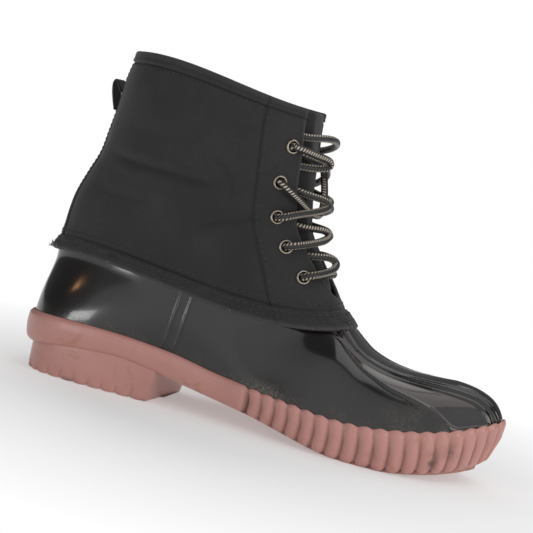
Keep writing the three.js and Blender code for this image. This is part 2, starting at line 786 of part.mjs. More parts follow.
function makeUpper() {
  const skin = new Skin();
  const { list, count } = shaftColumns();
  const grid = list.map((column) => SHAFT_LEVELS.map((level) => {
    const turn = turnOf(column, level);
    const outer = shaft(level, turn, shaftStep(level, column)).toArray();
    return skin.point(`${column}:${level}`, outer, shaft(level, turn, -LEATHER).toArray());
  }));
  for (let n = 0; n < 2 * count; n += 1) {
    const a = grid[n];
    const b = grid[(n + 1) % (2 * count)];
    for (let r = 0; r + 1 < SHAFT_LEVELS.length; r += 1) {
      skin.quad(a[r], a[r + 1], b[r + 1], b[r]);
    }
  }
  let upper = skin.close().subtract(throatCutter());
  for (const { spot, normal } of eyeletSpots()) {
    upper = upper.subtract(plug(spot, normal, EYELET_HOLE / 2 + EYELET_WALL + FIT_GAP, 8));
  }
  return upper;
}

// Throat opening, cut straight through the front of the shaft
function throatCutter() {
  const height = SHAFT_HEIGHT - THROAT_BOTTOM;
  const side = THROAT.map(({ rise, half }) => [half * THROAT_HALF, THROAT_BOTTOM + rise * height]);
  const shape = new THREE.Shape(
    [...side, ...side.map(([y, z]) => [-y, z]).reverse()].map(([y, z]) => new THREE.Vector2(y, z)),
  );
  const geometry = new THREE.ExtrudeGeometry(shape, { depth: SHAFT_LENGTH, bevelEnabled: false, steps: 1 });
  const turn = new THREE.Matrix4().makeBasis(
    new THREE.Vector3(0, 1, 0), new THREE.Vector3(0, 0, 1), new THREE.Vector3(1, 0, 0),
  );
  geometry.applyMatrix4(turn);
  geometry.translate(SHAFT_LENGTH * 0.6, 0, 0);
  return fromGeometry(geometry);
}

function eyeletSpots() {
  return EYELETS.flatMap(({ level, turn }) => [-1, 1].map((side) => ({
    side,
    spot: shaft(level, side * turn, FACING_STEP),
    normal: shaftNormal(level, side * turn),
  })));
}

function plug(spot, normal, radius, sides) {
  const geometry = new THREE.CylinderGeometry(radius, radius, 12, sides);
  geometry.applyQuaternion(new THREE.Quaternion().setFromUnitVectors(new THREE.Vector3(0, 1, 0), normal));
  geometry.translate(spot.x, spot.y, spot.z);
  return fromGeometry(geometry);
}

// Eyelet: rolled flange outside, barrel through the facing
function makeEyelet({ spot, normal }) {
  const bore = EYELET_HOLE / 2;
  const barrel = bore + EYELET_WALL;
  const rim = EYELET_FLANGE / 2;
  const profile = [
    [bore, -LEATHER - FACING_STEP],
    [barrel, -LEATHER - FACING_STEP],
    [barrel, FIT_GAP],
    [rim, FIT_GAP],
    [rim - 0.9, FIT_GAP + EYELET_LIP],
    [bore, FIT_GAP + EYELET_LIP * 0.4],
    [bore, -LEATHER - FACING_STEP],
  ].map(([x, y]) => new THREE.Vector2(x, y));
  const geometry = new THREE.LatheGeometry(profile, 8);
  geometry.applyQuaternion(new THREE.Quaternion().setFromUnitVectors(new THREE.Vector3(0, 1, 0), normal));
  geometry.translate(spot.x, spot.y, spot.z);
  return fromGeometry(geometry);
}

// Tongue: one leaf behind the facings that swells forward between them
function tongueOut(turn) {
  const share = Math.min(Math.max((1 - Math.abs(turn) - 0.045) / 0.075, 0), 1);
  return HEM_SINK - TONGUE_SINK * share * share * (3 - 2 * share);
}

function makeTongue() {
  const skin = new Skin();
  const turns = [0, 0.04, 0.06, 0.09, 0.12, 0.18, 0.23, TONGUE_SPREAD];
  const signed = [...turns.slice(1).reverse().map((t) => 1 - t), ...turns.map((t) => 1 + t)];
  const levels = [TONGUE_START, SHELL_TUCK + 0.1, 1.35, 1.7, 2.1, 3, 4, 5, 6, 7, 8, TOP_RING - 0.05];
  const grid = signed.map((turn, n) => levels.map((level) => {
    const wrapped = turn > 1 ? turn - 2 : turn;
    const fade = Math.min(Math.max((level - SHELL_TUCK - 0.1) / 0.9, 0), 1);
    const ease = fade * fade * (3 - 2 * fade);
    const under = HEM_SINK - SHELL_WALL - 2 * FIT_GAP;
    const out = under + (tongueOut(wrapped) - under) * ease;
    const outer = shaft(level, wrapped, out).toArray();
    return skin.point(`${n}:${level}`, outer, shaft(level, wrapped, out - TONGUE_THICK).toArray());
  }));
  for (let n = 0; n + 1 < grid.length; n += 1) {
    for (let r = 0; r + 1 < levels.length; r += 1) {
      skin.quad(grid[n][r], grid[n][r + 1], grid[n + 1][r + 1], grid[n + 1][r]);
    }
  }
  return skin.close();
}

// Insole: footbed on the seat, inside the shell
function makeInsole() {
  const columns = [...plainColumns(0, HALF, 2 * HALF), ...plainColumns(HALF, LOOP, 2 * HALF)];
  const inset = SEAT_INSET + 2 * FIT_GAP + SHELL_WALL + 0.7;
  const ring = (rise, extra) => columns.map(({ u }) => {
    const [x, y] = outline(u, inset + extra);
    return [x, y, topOver(x) - SEAT_DEPTH + FIT_GAP + rise];
  });
  return stack([ring(0, 0.8), ring(INSOLE_THICK * 0.5, 0.2), ring(INSOLE_THICK, 1.2)]);
}

// Pull loop: a strap folded out from the backstay, its middle line as shares of its reach and height
const LOOP_FOLD = [
  { reach: 0.11, height: -0.6 },
  { reach: 0.48, height: -0.3 },
  { reach: 0.8, height: 0.02 },
  { reach: 0.89, height: 0.24 },
  { reach: 0.76, height: 0.33 },
  { reach: 0.5, height: 0.22 },
  { reach: 0.11, height: 0.03 },
];

function alongside(points, distance) {
  return points.map((point, n) => {
    const before = points[Math.max(n - 1, 0)];
    const after = points[Math.min(n + 1, points.length - 1)];
    const aside = new THREE.Vector2(after.y - before.y, before.x - after.x).normalize();
    return point.clone().addScaledVector(aside, distance);
  });
}

function makePullLoop() {
  const root = shaft(LOOP_LEVEL, 0, STAY_STEP + FIT_GAP);
  const out = shaftNormal(LOOP_LEVEL, 0);
  const up = new THREE.Vector3(out.z, 0, -out.x);
  const fold = LOOP_FOLD.map((row) => new THREE.Vector2(row.reach * LOOP_REACH, row.height * LOOP_HEIGHT));
  const face = [...alongside(fold, LOOP_WALL / 2), ...alongside(fold, -LOOP_WALL / 2).reverse()];
  const shape = new THREE.Shape(face);
  const geometry = new THREE.ExtrudeGeometry(shape, { depth: LOOP_WIDTH, bevelEnabled: false, steps: 1 });
  geometry.translate(0, 0, -LOOP_WIDTH / 2);
  const across = new THREE.Vector3().crossVectors(out, up);
  geometry.applyMatrix4(new THREE.Matrix4().makeBasis(out, up, across));
  geometry.translate(root.x, root.y, root.z);
  return fromGeometry(geometry);
}

// Lace: two strands that cross between the facings, joined where they cross
function tube(points, radius, sides, steps) {
  const curve = new THREE.CatmullRomCurve3(points, false, "centripetal");
  const shape = new THREE.Shape();
  for (let n = 0; n < sides; n += 1) {
    const a = (2 * Math.PI * n) / sides;
    const p = new THREE.Vector2(radius * Math.cos(a), radius * Math.sin(a));
    if (n === 0) {
      shape.moveTo(p.x, p.y);
    } else {
      shape.lineTo(p.x, p.y);
    }
  }
  shape.closePath();
  return fromGeometry(new THREE.ExtrudeGeometry(shape, { steps, extrudePath: curve, bevelEnabled: false }));
}

// Route of a strand: level, share of the way to the next eyelet, turn and distance off the shaft
const LACE_DEPTH = -(LEATHER + FIT_GAP + LACE / 2 + 0.65);
const LACE_RIDE = FACING_STEP + FIT_GAP + EYELET_LIP + LACE / 2 + 0.4;

function strand(from, to, side, bow) {
  const level = (share) => from.level + (to.level - from.level) * share;
  return [
    ...throughEyelet(from, side),
    shaft(level(0.06), side * (from.turn + 0.022), LACE_RIDE + 0.5),
    shaft(level(0.16), side * (from.turn + 0.062), LACE_RIDE + 0.4),
    shaft(level(0.4), side * 0.955, bow - 0.6),
    shaft(level(0.56), side, bow),
    shaft(level(0.7), -side * 0.965, bow - 1),
    shaft(level(0.84), -side * (throatTurn(level(0.84)) + 0.04), -0.4),
    shaft(level(0.92), -side * (throatTurn(level(0.92)) - 0.004), LACE_DEPTH - 0.3),
    shaft(to.level, -side * (to.turn + 0.024), LACE_DEPTH),
  ];
}

// Turn of the facing's front edge at a level
function throatTurn(level) {
  let low = 0.7;
  let high = 1;
  for (let n = 0; n < 30; n += 1) {
    const mid = (low + high) / 2;
    const { y, z } = shaftBase(level, mid);
    const rise = (z - THROAT_BOTTOM) / (SHAFT_HEIGHT - THROAT_BOTTOM);
    const next = Math.max(1, THROAT.findIndex((row) => row.rise > rise));
    const [a, b] = [THROAT[next - 1], THROAT[next]];
    const half = a.half + ((b.half - a.half) * (rise - a.rise)) / (b.rise - a.rise);
    if (y > half * THROAT_HALF) {
      low = mid;
    } else {
      high = mid;
    }
  }
  return low;
}

function throughEyelet({ level, turn }, side) {
  return [LACE_DEPTH + 1.3, -0.5, LACE_RIDE - 1.9].map((out) => shaft(level, side * turn, out));
}

// Distance that each crossing stands off the shaft, from the collar down
const BOWS = [4.6, 8.6, 7.4, 5.6];
const LACE_STEPS = 66;
const BAR_LIFT = 0.12;

function makeLace() {
  const radius = LACE / 2;
  const last = EYELETS.length - 1;
  const low = EYELETS[last];
  const bar = low.level + BAR_LIFT;
  const chains = [-1, 1].map((first) => {
    const points = [
      shaft(bar, 1, 2.2),
      shaft(bar, first * (throatTurn(bar) + 0.04), 0.6),
      shaft(bar, first * (throatTurn(bar) - 0.005), LACE_DEPTH),
      shaft(low.level, first * (low.turn + 0.024), LACE_DEPTH),
    ];
    let side = first;
    for (let n = last; n > 0; n -= 1) {
      points.push(...strand(EYELETS[n], EYELETS[n - 1], side, BOWS[n - 1]));
      side = -side;
    }
    points.push(...throughEyelet(EYELETS[0], side));
    return tube(points, radius, 6, LACE_STEPS);
  });
  return chains[0].add(chains[1]);
}

// Upper ends of the lace: each leaves its top eyelet, bows forward and tucks under the inner facing
const LACE_ENDS = [
  { name: "lace_end_inner", side: -1, route: [
    { level: 7.3, turn: -0.793, out: 3.1 }, { level: 7.28, turn: -0.8, out: 4.6 },
    { level: 7.25, turn: -0.83, out: 5.2 }, { level: 7.12, turn: -0.88, out: 6.4 },
    { level: 6.9, turn: -0.94, out: 9.8 }, { level: 6.72, turn: -0.955, out: 9.2 },
    { level: 6.6, turn: -0.935, out: 5.8 }, { level: 6.58, turn: -0.9, out: 0.8 },
    { level: 6.58, turn: -0.855, out: -4.5 }, { level: 6.6, turn: -0.82, out: -4.85 },
  ] },
  { name: "lace_end_outer", side: 1, route: [
    { level: 7.3, turn: 0.793, out: 3.1 }, { level: 7.32, turn: 0.8, out: 4.6 },
    { level: 7.4, turn: 0.83, out: 5.4 }, { level: 7.6, turn: 0.9, out: 7.4 },
    { level: 7.85, turn: 0.97, out: 8.4 }, { level: 7.95, turn: -0.97, out: 6.6 },
    { level: 7.9, turn: -0.93, out: 2.6 }, { level: 7.85, turn: -0.89, out: -1.4 },
    { level: 7.85, turn: -0.85, out: -4.7 }, { level: 7.9, turn: -0.815, out: -4.85 },
  ] },
];

function makeLaceEnd({ route }) {
  return tube(route.map(({ level, turn, out }) => shaft(level, turn, out)), LACE / 2, 8, 16);
}

// Meshes
const COLOURS = {
  outsole: 0xd9a79c, shell: 0x17181a, upper: 0x2b2c2f, tongue: 0x242528,
  insole: 0x8f8579, pull_loop: 0x2b2c2f, eyelet: 0x9c9488, lace: 0x1d1d1d,
};

function node(name, body, slot) {
  const mesh = body.getMesh();
  const geometry = new THREE.BufferGeometry();
  geometry.setAttribute("position", new THREE.BufferAttribute(mesh.vertProperties, 3));
  geometry.setIndex(new THREE.BufferAttribute(mesh.triVerts, 1));
  geometry.computeVertexNormals();
  const out = new THREE.Mesh(geometry, new THREE.MeshStandardMaterial({ color: COLOURS[slot] }));
  out.name = name;
  return out;
}

const part = new THREE.Group();
part.name = "duck_boot";
part.add(node("outsole", makeSole(), "outsole"));
part.add(node("shell", makeShell(), "shell"));
part.add(node("upper", makeUpper(), "upper"));
part.add(node("tongue", makeTongue(), "tongue"));
part.add(node("insole", makeInsole(), "insole"));
part.add(node("pull_loop", makePullLoop(), "pull_loop"));
part.add(node("lace", makeLace(), "lace"));
LACE_ENDS.forEach((end) => part.add(node(end.name, makeLaceEnd(end), "lace")));
const SIDES = { "-1": "inner", 1: "outer" };
eyeletSpots().forEach((eyelet, n) => {
  const number = Math.floor(n / 2) + 1;
  part.add(node(`eyelet_${SIDES[eyelet.side]}_${number}`, makeEyelet(eyelet), "eyelet"));
});

// Origin at the middle of the bottom of the box round everything but the free lace ends
const ends = LACE_ENDS.map(({ name }) => name);
const box = new THREE.Box3();
part.children.filter(({ name }) => !ends.includes(name)).forEach((mesh) => box.expandByObject(mesh));
part.position.set(-(box.min.x + box.max.x) / 2, -(box.min.y + box.max.y) / 2, -box.min.z);

export default part;
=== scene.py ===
import math

import bpy
import numpy as np
from mathutils import Matrix, Vector


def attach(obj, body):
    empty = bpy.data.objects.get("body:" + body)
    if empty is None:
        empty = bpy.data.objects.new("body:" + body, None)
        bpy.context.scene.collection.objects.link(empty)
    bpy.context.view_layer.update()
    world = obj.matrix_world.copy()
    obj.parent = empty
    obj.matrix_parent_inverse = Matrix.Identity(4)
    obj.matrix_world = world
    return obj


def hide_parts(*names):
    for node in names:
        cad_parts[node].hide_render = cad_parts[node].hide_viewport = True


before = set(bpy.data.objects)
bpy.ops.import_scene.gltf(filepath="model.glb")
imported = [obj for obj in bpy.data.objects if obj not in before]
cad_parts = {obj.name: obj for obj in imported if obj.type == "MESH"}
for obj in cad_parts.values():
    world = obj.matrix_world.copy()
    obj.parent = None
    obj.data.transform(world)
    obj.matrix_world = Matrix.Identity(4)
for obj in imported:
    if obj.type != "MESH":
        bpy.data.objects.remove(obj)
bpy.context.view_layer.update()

# The boot's own sizes in millimetres: X from the heel to the toe, Y to the outer side, Z up
MM = 0.001
FOOT_LENGTH = 295.0
BALL_INNER = 47.0
BALL_OUTER = 51.0
BAND_TOP = 35.5
WAIST_RISE = 21.0
TOE_TUCK = 8.0
LIP_WALL = 2.2
SEAT_DEPTH = 4.0
TREAD_EDGE = 6.0
TREAD_DEPTH = 1.6
TREAD_PITCH = 9.2
TREAD_WAVE = 3.5
RIB_COUNT = 19
RIB_POINTS = 15
RIB_DEPTH = 3.2
RIB_WAVE = 1.3
RIB_START = 6.9
RIB_BOW = 1.3
RIB_LEAN = 1.2
RIB_SLANT = 4.2
BREAST = 89.0
BREAST_SKEW = 4.0
BREAST_LEAN = 3.0
HEEL_STEP = 2.0
HEEL_SET = 6.5
HEEL_LUGS = 12
HEEL_LUG_CUT = 1.5
HEEL_GRIP = 4.0
FIT_GAP = 0.3
SHELL_WALL = 2.5
VAMP_HEIGHT = 55.0
SHELL_SWELL = 5.0
SHELL_TUCK = 0.95
RAISE = 0.9
LEATHER = 2.0
SHAFT_LENGTH = 190.0
SHAFT_HEIGHT = 197.0
SHAFT_INNER = 46.0
SHAFT_OUTER = 47.0
RING_SAG = 10.0
HEM_BAND = 0.74
HEM_STEP = 0.9
COLLAR_BAND = 0.35
COLLAR_STEP = 0.5
STAY_STEP = 0.8
STAY_WIDTH = 0.105
STAY_TAPER = 0.45
FACING_STEP = 0.6
FACING_SEAM = 0.668
SEAM_EDGE = 0.006
THROAT_BOTTOM = 84.0
THROAT_HALF = 24.0
TONGUE_THICK = 3.5
TONGUE_SINK = 5.4
TONGUE_START = 0.5
TONGUE_SPREAD = 0.27
EYELET_HOLE = 5.5
EYELET_WALL = 0.5
EYELET_FLANGE = 8.6
EYELET_LIP = 0.9
EYELET_SIDES = 40
LACE = 4.3
LOOP_LEVEL = 7.45
LOOP_HEIGHT = 18.0
LOOP_REACH = 7.0
LOOP_WIDTH = 13.0
LOOP_WALL = 1.6
HEM_SINK = -(LEATHER + FIT_GAP)
SEAT_INSET = LIP_WALL

# The frame's origin, from the back of the heel and the foot's middle line
ORIGIN = np.array([147.915, 1.83, 0.0])

# Foot sections from the heel back to the toe tip, as shares of the boot's sizes
FOOT = {
    "along": [
        .005, .017, .064, .142, .237, .339, .434, .515, .583, .637, .685, .739, .8, .864, .922, .973, 1,
    ],
    "inner": [0, .35, .63, .72, .71, .68, .71, .8, .9, .965, 1, 1, .965, .86, .68, .4, .05],
    "outer": [0, .33, .59, .68, .705, .755, .84, .92, .98, 1, 1, .975, .925, .83, .665, .4, .05],
    "top": [
        .944, .963, .986, 1.003, .986, .91, .783, .721, .685, .656, .637, .648, .704, .797, .915, 1.07, 1.155,
    ],
    "under": [.71, .73, .8, .94, 1.005, .8, .6, .45, .285, .14, .035, 0, 0, .12, .3, .5, .62],
    "tuck": [.2, .2, .2, .2, .2, .2, .2, .2, .2, .2, .2, .2, .22, .28, .4, .75, 1],
    "turn": [0, .09, .187, .32, .435, .51, .585, .655, .73, .83, 1, 1, 1, 1, 1, 1, 1],
    "rise": [.33, .33, .35, .35, .35, .38, .42, .46, .5, .56, .6, .62, .63, .63, .62, .62, .62],
    "swell": [.2, .3, .4, .4, .4, .4, .4, .3, .2, .1, 0, 0, 0, 0, 0, 0, 0],
    "crown": [0, 0, 0, 0, 0, 0, .05, .12, .25, .42, .52, .57, .6, .62, .62, .62, .62],
    "drop": [.33, .33, .33, .33, .33, .35, .33, .3, .2, .08, 0, 0, 0, 0, 0, 0, 0],
    "sweep": [1, 1, 1, 1, 1, 1, 1, .9, .6, .2, 0, 0, 0, .3, .6, .85, 1],
    "crest": [0, 0, 0, 0, 0, 0, 0, 0, 0, 0, 0, .094, .218, .351, .478, .581, .64],
    "height": [0, 0, 0, 0, 0, 0, 0, 0, 0, 0, 0, 1.1, 1.005, .965, .97, .985, .995],
}

# Shaft rings from the hem to the collar, as shares of the shaft's sizes
SHAFT = {
    "back": [.033, .048, .054, .066, .092, .121, .132, .142, .152, .168],
    "low": [.368, .426, .487, .548, .619, .69, .761, .838, .919, 1],
    "front": [1.032, .971, .926, .882, .84, .821, .811, .8, .79, .788],
    "high": [.358, .414, .477, .538, .604, .675, .746, .817, .883, .949],
    "inner": [.74, .74, .75, .77, .81, .855, .9, .945, .98, 1],
    "outer": [.79, .78, .78, .79, .82, .86, .9, .945, .98, 1],
    "nose": [2.6, 2.6, 2.6, 2.55, 2.5, 2.5, 2.5, 2.5, 2.5, 2.5],
    "arch": [-.3, -.2, -.1, 0, 0, 0, .05, .1, .2, .3],
    "pitch": [-1.1, -.8, -.5, -.2, -.1, 0, -.1, -.2, -.3, -.4],
    "outer_arch": [-.3, -.2, -.1, 0, 0, 0, 0, 0, 0, -.05],
    "outer_pitch": [-1.1, -.8, -.5, -.2, -.1, 0, -.1, -.15, -.2, -.25],
}

# Half width of the throat over its height
THROAT_RISE = [0, .02, .06, .13, .24, .38, .55, .75, 1.2]
THROAT_WIDE = [.05, .35, .52, .7, .82, .92, 1, 1.02, 1.25]

# Eyelets from the collar down: ring level and turn from the back
EYELETS = [(7.3, .793), (5.75, .7525), (4.35, .7538), (3.2, .7676), (2.05, .8027)]

HALF = len(FOOT["along"]) - 1
LOOP = 2 * HALF
TOP_RING = len(SHAFT["back"]) - 1
COLLAR_EDGE = TOP_RING - COLLAR_BAND
THROAT_AT = FOOT["turn"].index(1)


# Curves through table rows
def spline(values, u):
    u = np.asarray(u, float)
    j = np.floor(u).astype(int)
    t = u - j
    a, b, c, d = (values[(j + k) % len(values)] for k in (-1, 0, 1, 2))
    return b + .5 * t * (c - a + t * (2 * a - 5 * b + 4 * c - d + t * (3 * (b - c) + d - a)))


def smooth(value, low, high):
    t = np.clip((np.asarray(value, float) - low) / (high - low), 0, 1)
    return t * t * (3 - 2 * t)


# Hump of 1 at a middle, and a flat stretch of 1 between two slopes
def bell(value, middle, wide):
    return np.exp(-((value - middle) / wide) ** 2)


def stretch(value, low, start, end, high):
    return smooth(value, low, start) * (1 - smooth(value, end, high))


def unit(vectors):
    return vectors / np.maximum(np.linalg.norm(vectors, axis=-1, keepdims=True), 1e-9)


def looped(key):
    row = FOOT[key]
    return np.array([row[n if n <= HALF else LOOP - n] for n in range(LOOP)], float)


def foot(key, u):
    return spline(looped(key), u)


def width_at(n):
    return -BALL_INNER * FOOT["inner"][n] if n <= HALF else BALL_OUTER * FOOT["outer"][LOOP - n]


EDGE_LINE = np.array([width_at(n) for n in range(LOOP)])


# Plan outline of the sole, inset by a distance
def outline_at(u):
    return np.stack([FOOT_LENGTH * foot("along", u), spline(EDGE_LINE, u)], -1)


def outline_normal(u):
    step = unit(outline_at(u + .05) - outline_at(u - .05))
    return np.stack([step[..., 1], -step[..., 0]], -1)


def outline(u, inset):
    return outline_at(u) - outline_normal(u) * np.asarray(inset)[..., None]


def lengths_along(line):
    return np.concatenate([[0], np.cumsum(np.linalg.norm(np.diff(line, axis=0), axis=1))])


FINE_U = np.linspace(0, LOOP, 3201)
FINE_LINE = outline_at(FINE_U)
ARCS = lengths_along(FINE_LINE)


def arc_at(u):
    return np.interp(u, FINE_U, ARCS)


def at_arc(arc):
    return np.interp(arc, ARCS, FINE_U)


def section_over(x):
    side = FINE_U <= HALF
    return np.interp(x, FINE_LINE[side, 0], FINE_U[side])


def top_at(u):
    return BAND_TOP * foot("top", u)


def under_at(u):
    return np.maximum(0, WAIST_RISE * foot("under", u))


def top_over(x):
    return top_at(section_over(x))


def under_over(x):
    return under_at(section_over(x))


# Shaft surface: level from the hem to the collar, turn from -1 over the inner side, 0 at the back, to 1
def ring_value(key, level):
    row = np.array(SHAFT[key], float)
    before = 2 * row[0] - row[3:0:-1]
    after = 2 * row[-1] - row[-2:-5:-1]
    return spline(np.concatenate([before, row, after]), np.clip(level, -1, TOP_RING + 1) + 3)


def shaft_base(level, turn):
    level, turn = np.broadcast_arrays(np.asarray(level, float), np.asarray(turn, float))
    back, front = ring_value("back", level) * SHAFT_LENGTH, ring_value("front", level) * SHAFT_LENGTH
    low, high = ring_value("low", level) * SHAFT_HEIGHT, ring_value("high", level) * SHAFT_HEIGHT
    c, s = np.cos(np.pi * turn), np.sin(np.pi * turn)
    power = 2 / np.where(c > 0, 2.2, ring_value("nose", level))
    share = -np.sign(c) * np.abs(c) ** power
    half = np.where(s < 0, SHAFT_INNER * ring_value("inner", level), SHAFT_OUTER * ring_value("outer", level))
    blend = .5 - .5 * s
    arch = blend * ring_value("arch", level) + (1 - blend) * ring_value("outer_arch", level)
    pitch = blend * ring_value("pitch", level) + (1 - blend) * ring_value("outer_pitch", level)
    lift = RING_SAG * (1 - share * share) * (arch + share * pitch)
    return np.stack([
        (back + front) / 2 + (front - back) / 2 * share,
        np.sign(s) * half * np.abs(s) ** power,
        low + (high - low) * (share + 1) * .5 + lift,
    ], -1)


def shaft_normal(level, turn):
    level, turn = np.broadcast_arrays(np.asarray(level, float), np.asarray(turn, float))
    across = shaft_base(level, turn + .012) - shaft_base(level, turn - .012)
    up = shaft_base(level + .1, turn) - shaft_base(level - .1, turn)
    return unit(np.cross(up, across))


def shaft(level, turn, out):
    return shaft_base(level, turn) + shaft_normal(level, turn) * np.asarray(out, float)[..., None]


# Turn of the facing's front edge at a level, 1 where the front is closed
FINE_TURN = np.linspace(.7, 1, 1201)


def throat_half(z):
    rise = (z - THROAT_BOTTOM) / (SHAFT_HEIGHT - THROAT_BOTTOM)
    return THROAT_HALF * np.interp(rise, THROAT_RISE, THROAT_WIDE, left=0)


def throat_turn(level):
    turns = []
    for value in np.atleast_1d(np.asarray(level, float)):
        at = shaft_base(value, FINE_TURN)
        covered = at[:, 1] > throat_half(at[:, 2])
        turns.append(FINE_TURN[np.nonzero(covered)[0].max()] if at[-1, 2] > THROAT_BOTTOM else 1)
    return np.array(turns) if np.ndim(level) else turns[0]


# Frame point of a point in the boot's millimetres
def place(points):
    return (np.asarray(points, float) - ORIGIN) * MM


# Slow waves for soft unevenness, between -1 and 1
def ripples(points, size, seed):
    rng = np.random.default_rng(seed)
    total = np.zeros(points.shape[:-1])
    for _ in range(7):
        way = unit(rng.normal(size=3)) * rng.uniform(.6, 1.6) / size
        total += np.sin(points @ way * 2 * np.pi + rng.uniform(0, 6.283))
    return total / 3.5


# Distance from points to a line of points, with the share of the way along it
def line_distance(points, line):
    line = np.asarray(line, float)
    best = np.full(points.shape[:-1], 1e9)
    share = np.zeros_like(best)
    lengths = lengths_along(line)
    for n in range(len(line) - 1):
        step = line[n + 1] - line[n]
        t = np.clip((points - line[n]) @ step / max(step @ step, 1e-9), 0, 1)
        gap = np.linalg.norm(points - line[n] - t[..., None] * step, axis=-1)
        nearer = gap < best
        best = np.where(nearer, gap, best)
        share = np.where(nearer, (lengths[n] + t * (lengths[n + 1] - lengths[n])) / lengths[-1], share)
    return best, share


# Catmull-Rom line through points, with spacing that follows their distance
def through(points, steps):
    points = np.asarray(points, float)
    points = np.vstack([2 * points[0] - points[1], points, 2 * points[-1] - points[-2]])
    out = []
    for n in range(1, len(points) - 2):
        a, b, c, d = points[n - 1:n + 3]
        gaps = [max(np.linalg.norm(q - p), 1e-6) ** .5 for p, q in ((a, b), (b, c), (c, d))]
        leave = ((b - a) / gaps[0] - (c - a) / (gaps[0] + gaps[1]) + (c - b) / gaps[1]) * gaps[1]
        reach = ((c - b) / gaps[1] - (d - b) / (gaps[1] + gaps[2]) + (d - c) / gaps[2]) * gaps[1]
        t = np.linspace(0, 1, steps, endpoint=False)[:, None]
        rise = 3 * (c - b) - 2 * leave - reach
        bend = 2 * (b - c) + leave + reach
        out.append(b + leave * t + rise * t ** 2 + bend * t ** 3)
    return np.vstack([*out, points[-2]])


def even(line, step):
    gaps = lengths_along(line)
    marks = np.linspace(0, gaps[-1], max(2, int(round(gaps[-1] / step)) + 1))
    return np.stack([np.interp(marks, gaps, line[:, k]) for k in range(line.shape[1])], -1)


# Faces of a grid of points, column by column
def grid_faces(columns, rows, wrap=False):
    i = np.arange(columns if wrap else columns - 1)
    j = np.arange(rows - 1)
    a = i[:, None] * rows + j
    b = (i[:, None] + 1) % columns * rows + j
    return np.stack([a, b, b + 1, a + 1], -1).reshape(-1, 4)


# Points that lie on each other become one, and faces that shrink to a line go
def weld(points, faces, reach=1e-3):
    _, first, spread = np.unique(np.round(points / reach), axis=0, return_index=True, return_inverse=True)
    faces = spread.reshape(-1)[faces]
    rows = [tuple(dict.fromkeys(face)) for face in faces.tolist()]
    return points[first], [row for row in rows if len(row) > 2], first


# Closed skin through rings of points
def ringed(rings):
    grid = np.stack(rings, 1)
    return weld(grid.reshape(-1, 3), grid_faces(*grid.shape[:2], wrap=True))


def split_quads(faces):
    out = []
    for face in faces:
        out.append(face[:3])
        if len(face) == 4:
            out.append((face[0], face[2], face[3]))
    return np.array(out)


def point_normals(points, faces):
    tris = split_quads(faces)
    a, b, c = (points[tris[:, k]] for k in range(3))
    areas = np.cross(b - a, c - a)
    sums = np.zeros_like(points)
    for k in range(3):
        np.add.at(sums, tris[:, k], areas)
    return unit(sums)


# Points eased towards their neighbours, each by its own share
def relax(points, faces, share, rounds):
    pairs = {tuple(sorted(pair)) for face in faces for pair in zip(face, face[1:] + face[:1])}
    pairs = np.array(sorted(pairs))
    ends = np.concatenate([pairs, pairs[:, ::-1]])
    count = np.bincount(ends[:, 0], minlength=len(points))[:, None]
    for _ in range(rounds):
        sums = np.stack([np.bincount(ends[:, 0], points[ends[:, 1], k], len(points)) for k in range(3)], -1)
        points = points + (sums / count - points) * share[:, None]
    return points


# Sheet with a wall: both skins and a rounded rim along every open edge
def thicken(outer, inner, faces, bulge):
    count = len(outer)
    borders = {}
    for face in faces:
        for a, b in zip(face, face[1:] + face[:1]):
            borders[(a, b)] = face
    borders = {edge: face for edge, face in borders.items() if (edge[1], edge[0]) not in borders}
    normals = point_normals(outer, faces)
    away = {}
    for a, b in borders:
        side = np.cross(outer[b] - outer[a], normals[a])
        for n in (a, b):
            away[n] = away.get(n, 0) + unit(side)
    rims = {}
    points = [outer, inner]
    total = 2 * count
    arcs = (np.pi * .25, np.pi * .5, np.pi * .75)
    for n, side in away.items():
        side = unit(side)
        middle = (outer[n] + inner[n]) / 2
        half = (outer[n] - inner[n]) / 2
        rims[n] = [n, total, total + 1, total + 2, n + count]
        points.append(np.array([middle + half * math.cos(a) + side * bulge * math.sin(a) for a in arcs]))
        total += 3
    out = [tuple(face) for face in faces]
    out += [tuple(n + count for n in face[::-1]) for face in faces]
    for a, b in borders:
        for k in range(4):
            out.append((rims[b][k], rims[a][k], rims[a][k + 1], rims[b][k + 1]))
    return np.vstack(points), out


# A finished piece in the frame's metres, with its material, a slot that is not used, the solid that it
# replaces, values on its points for the material, and the range of points that carry the lining
def piece(name, points, faces, material, slot, nodes=(), marks=None, lining=None, lined=None):
    mesh = bpy.data.meshes.new(name)
    mesh.from_pydata(place(points).tolist(), [], [tuple(map(int, face)) for face in faces])
    mesh.polygons.foreach_set("use_smooth", [True] * len(mesh.polygons))
    mesh.materials.append(material)
    if lining is not None:
        mesh.materials.append(lining)
        inside = [int(min(face) >= lined[0] and max(face) < lined[1]) for face in faces]
        mesh.polygons.foreach_set("material_index", inside)
    for key, values in (marks or {}).items():
        layer = mesh.attributes.new(key, "FLOAT", "POINT")
        layer.data.foreach_set("value", np.asarray(values, np.float32))
    mesh.update()
    made = bpy.data.objects.new(name, mesh)
    bpy.context.collection.objects.link(made)
    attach(made, "root")
    if nodes:
        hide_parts(*nodes)
    return made


# Materials
def new_material(name):
    material = bpy.data.materials.new(name)
    material.use_nodes = True
    return material, material.node_tree, material.node_tree.nodes["Principled BSDF"]


def feed(tree, made, inputs):
    for key, value in inputs.items():
        if isinstance(value, bpy.types.NodeSocket):
            tree.links.new(value, made.inputs[key])
        else:
            made.inputs[key].default_value = value


def node(tree, kind, inputs=None, **settings):
    made = tree.nodes.new(kind)
    for key, value in settings.items():
        setattr(made, key, value)
    feed(tree, made, inputs or {})
    return made


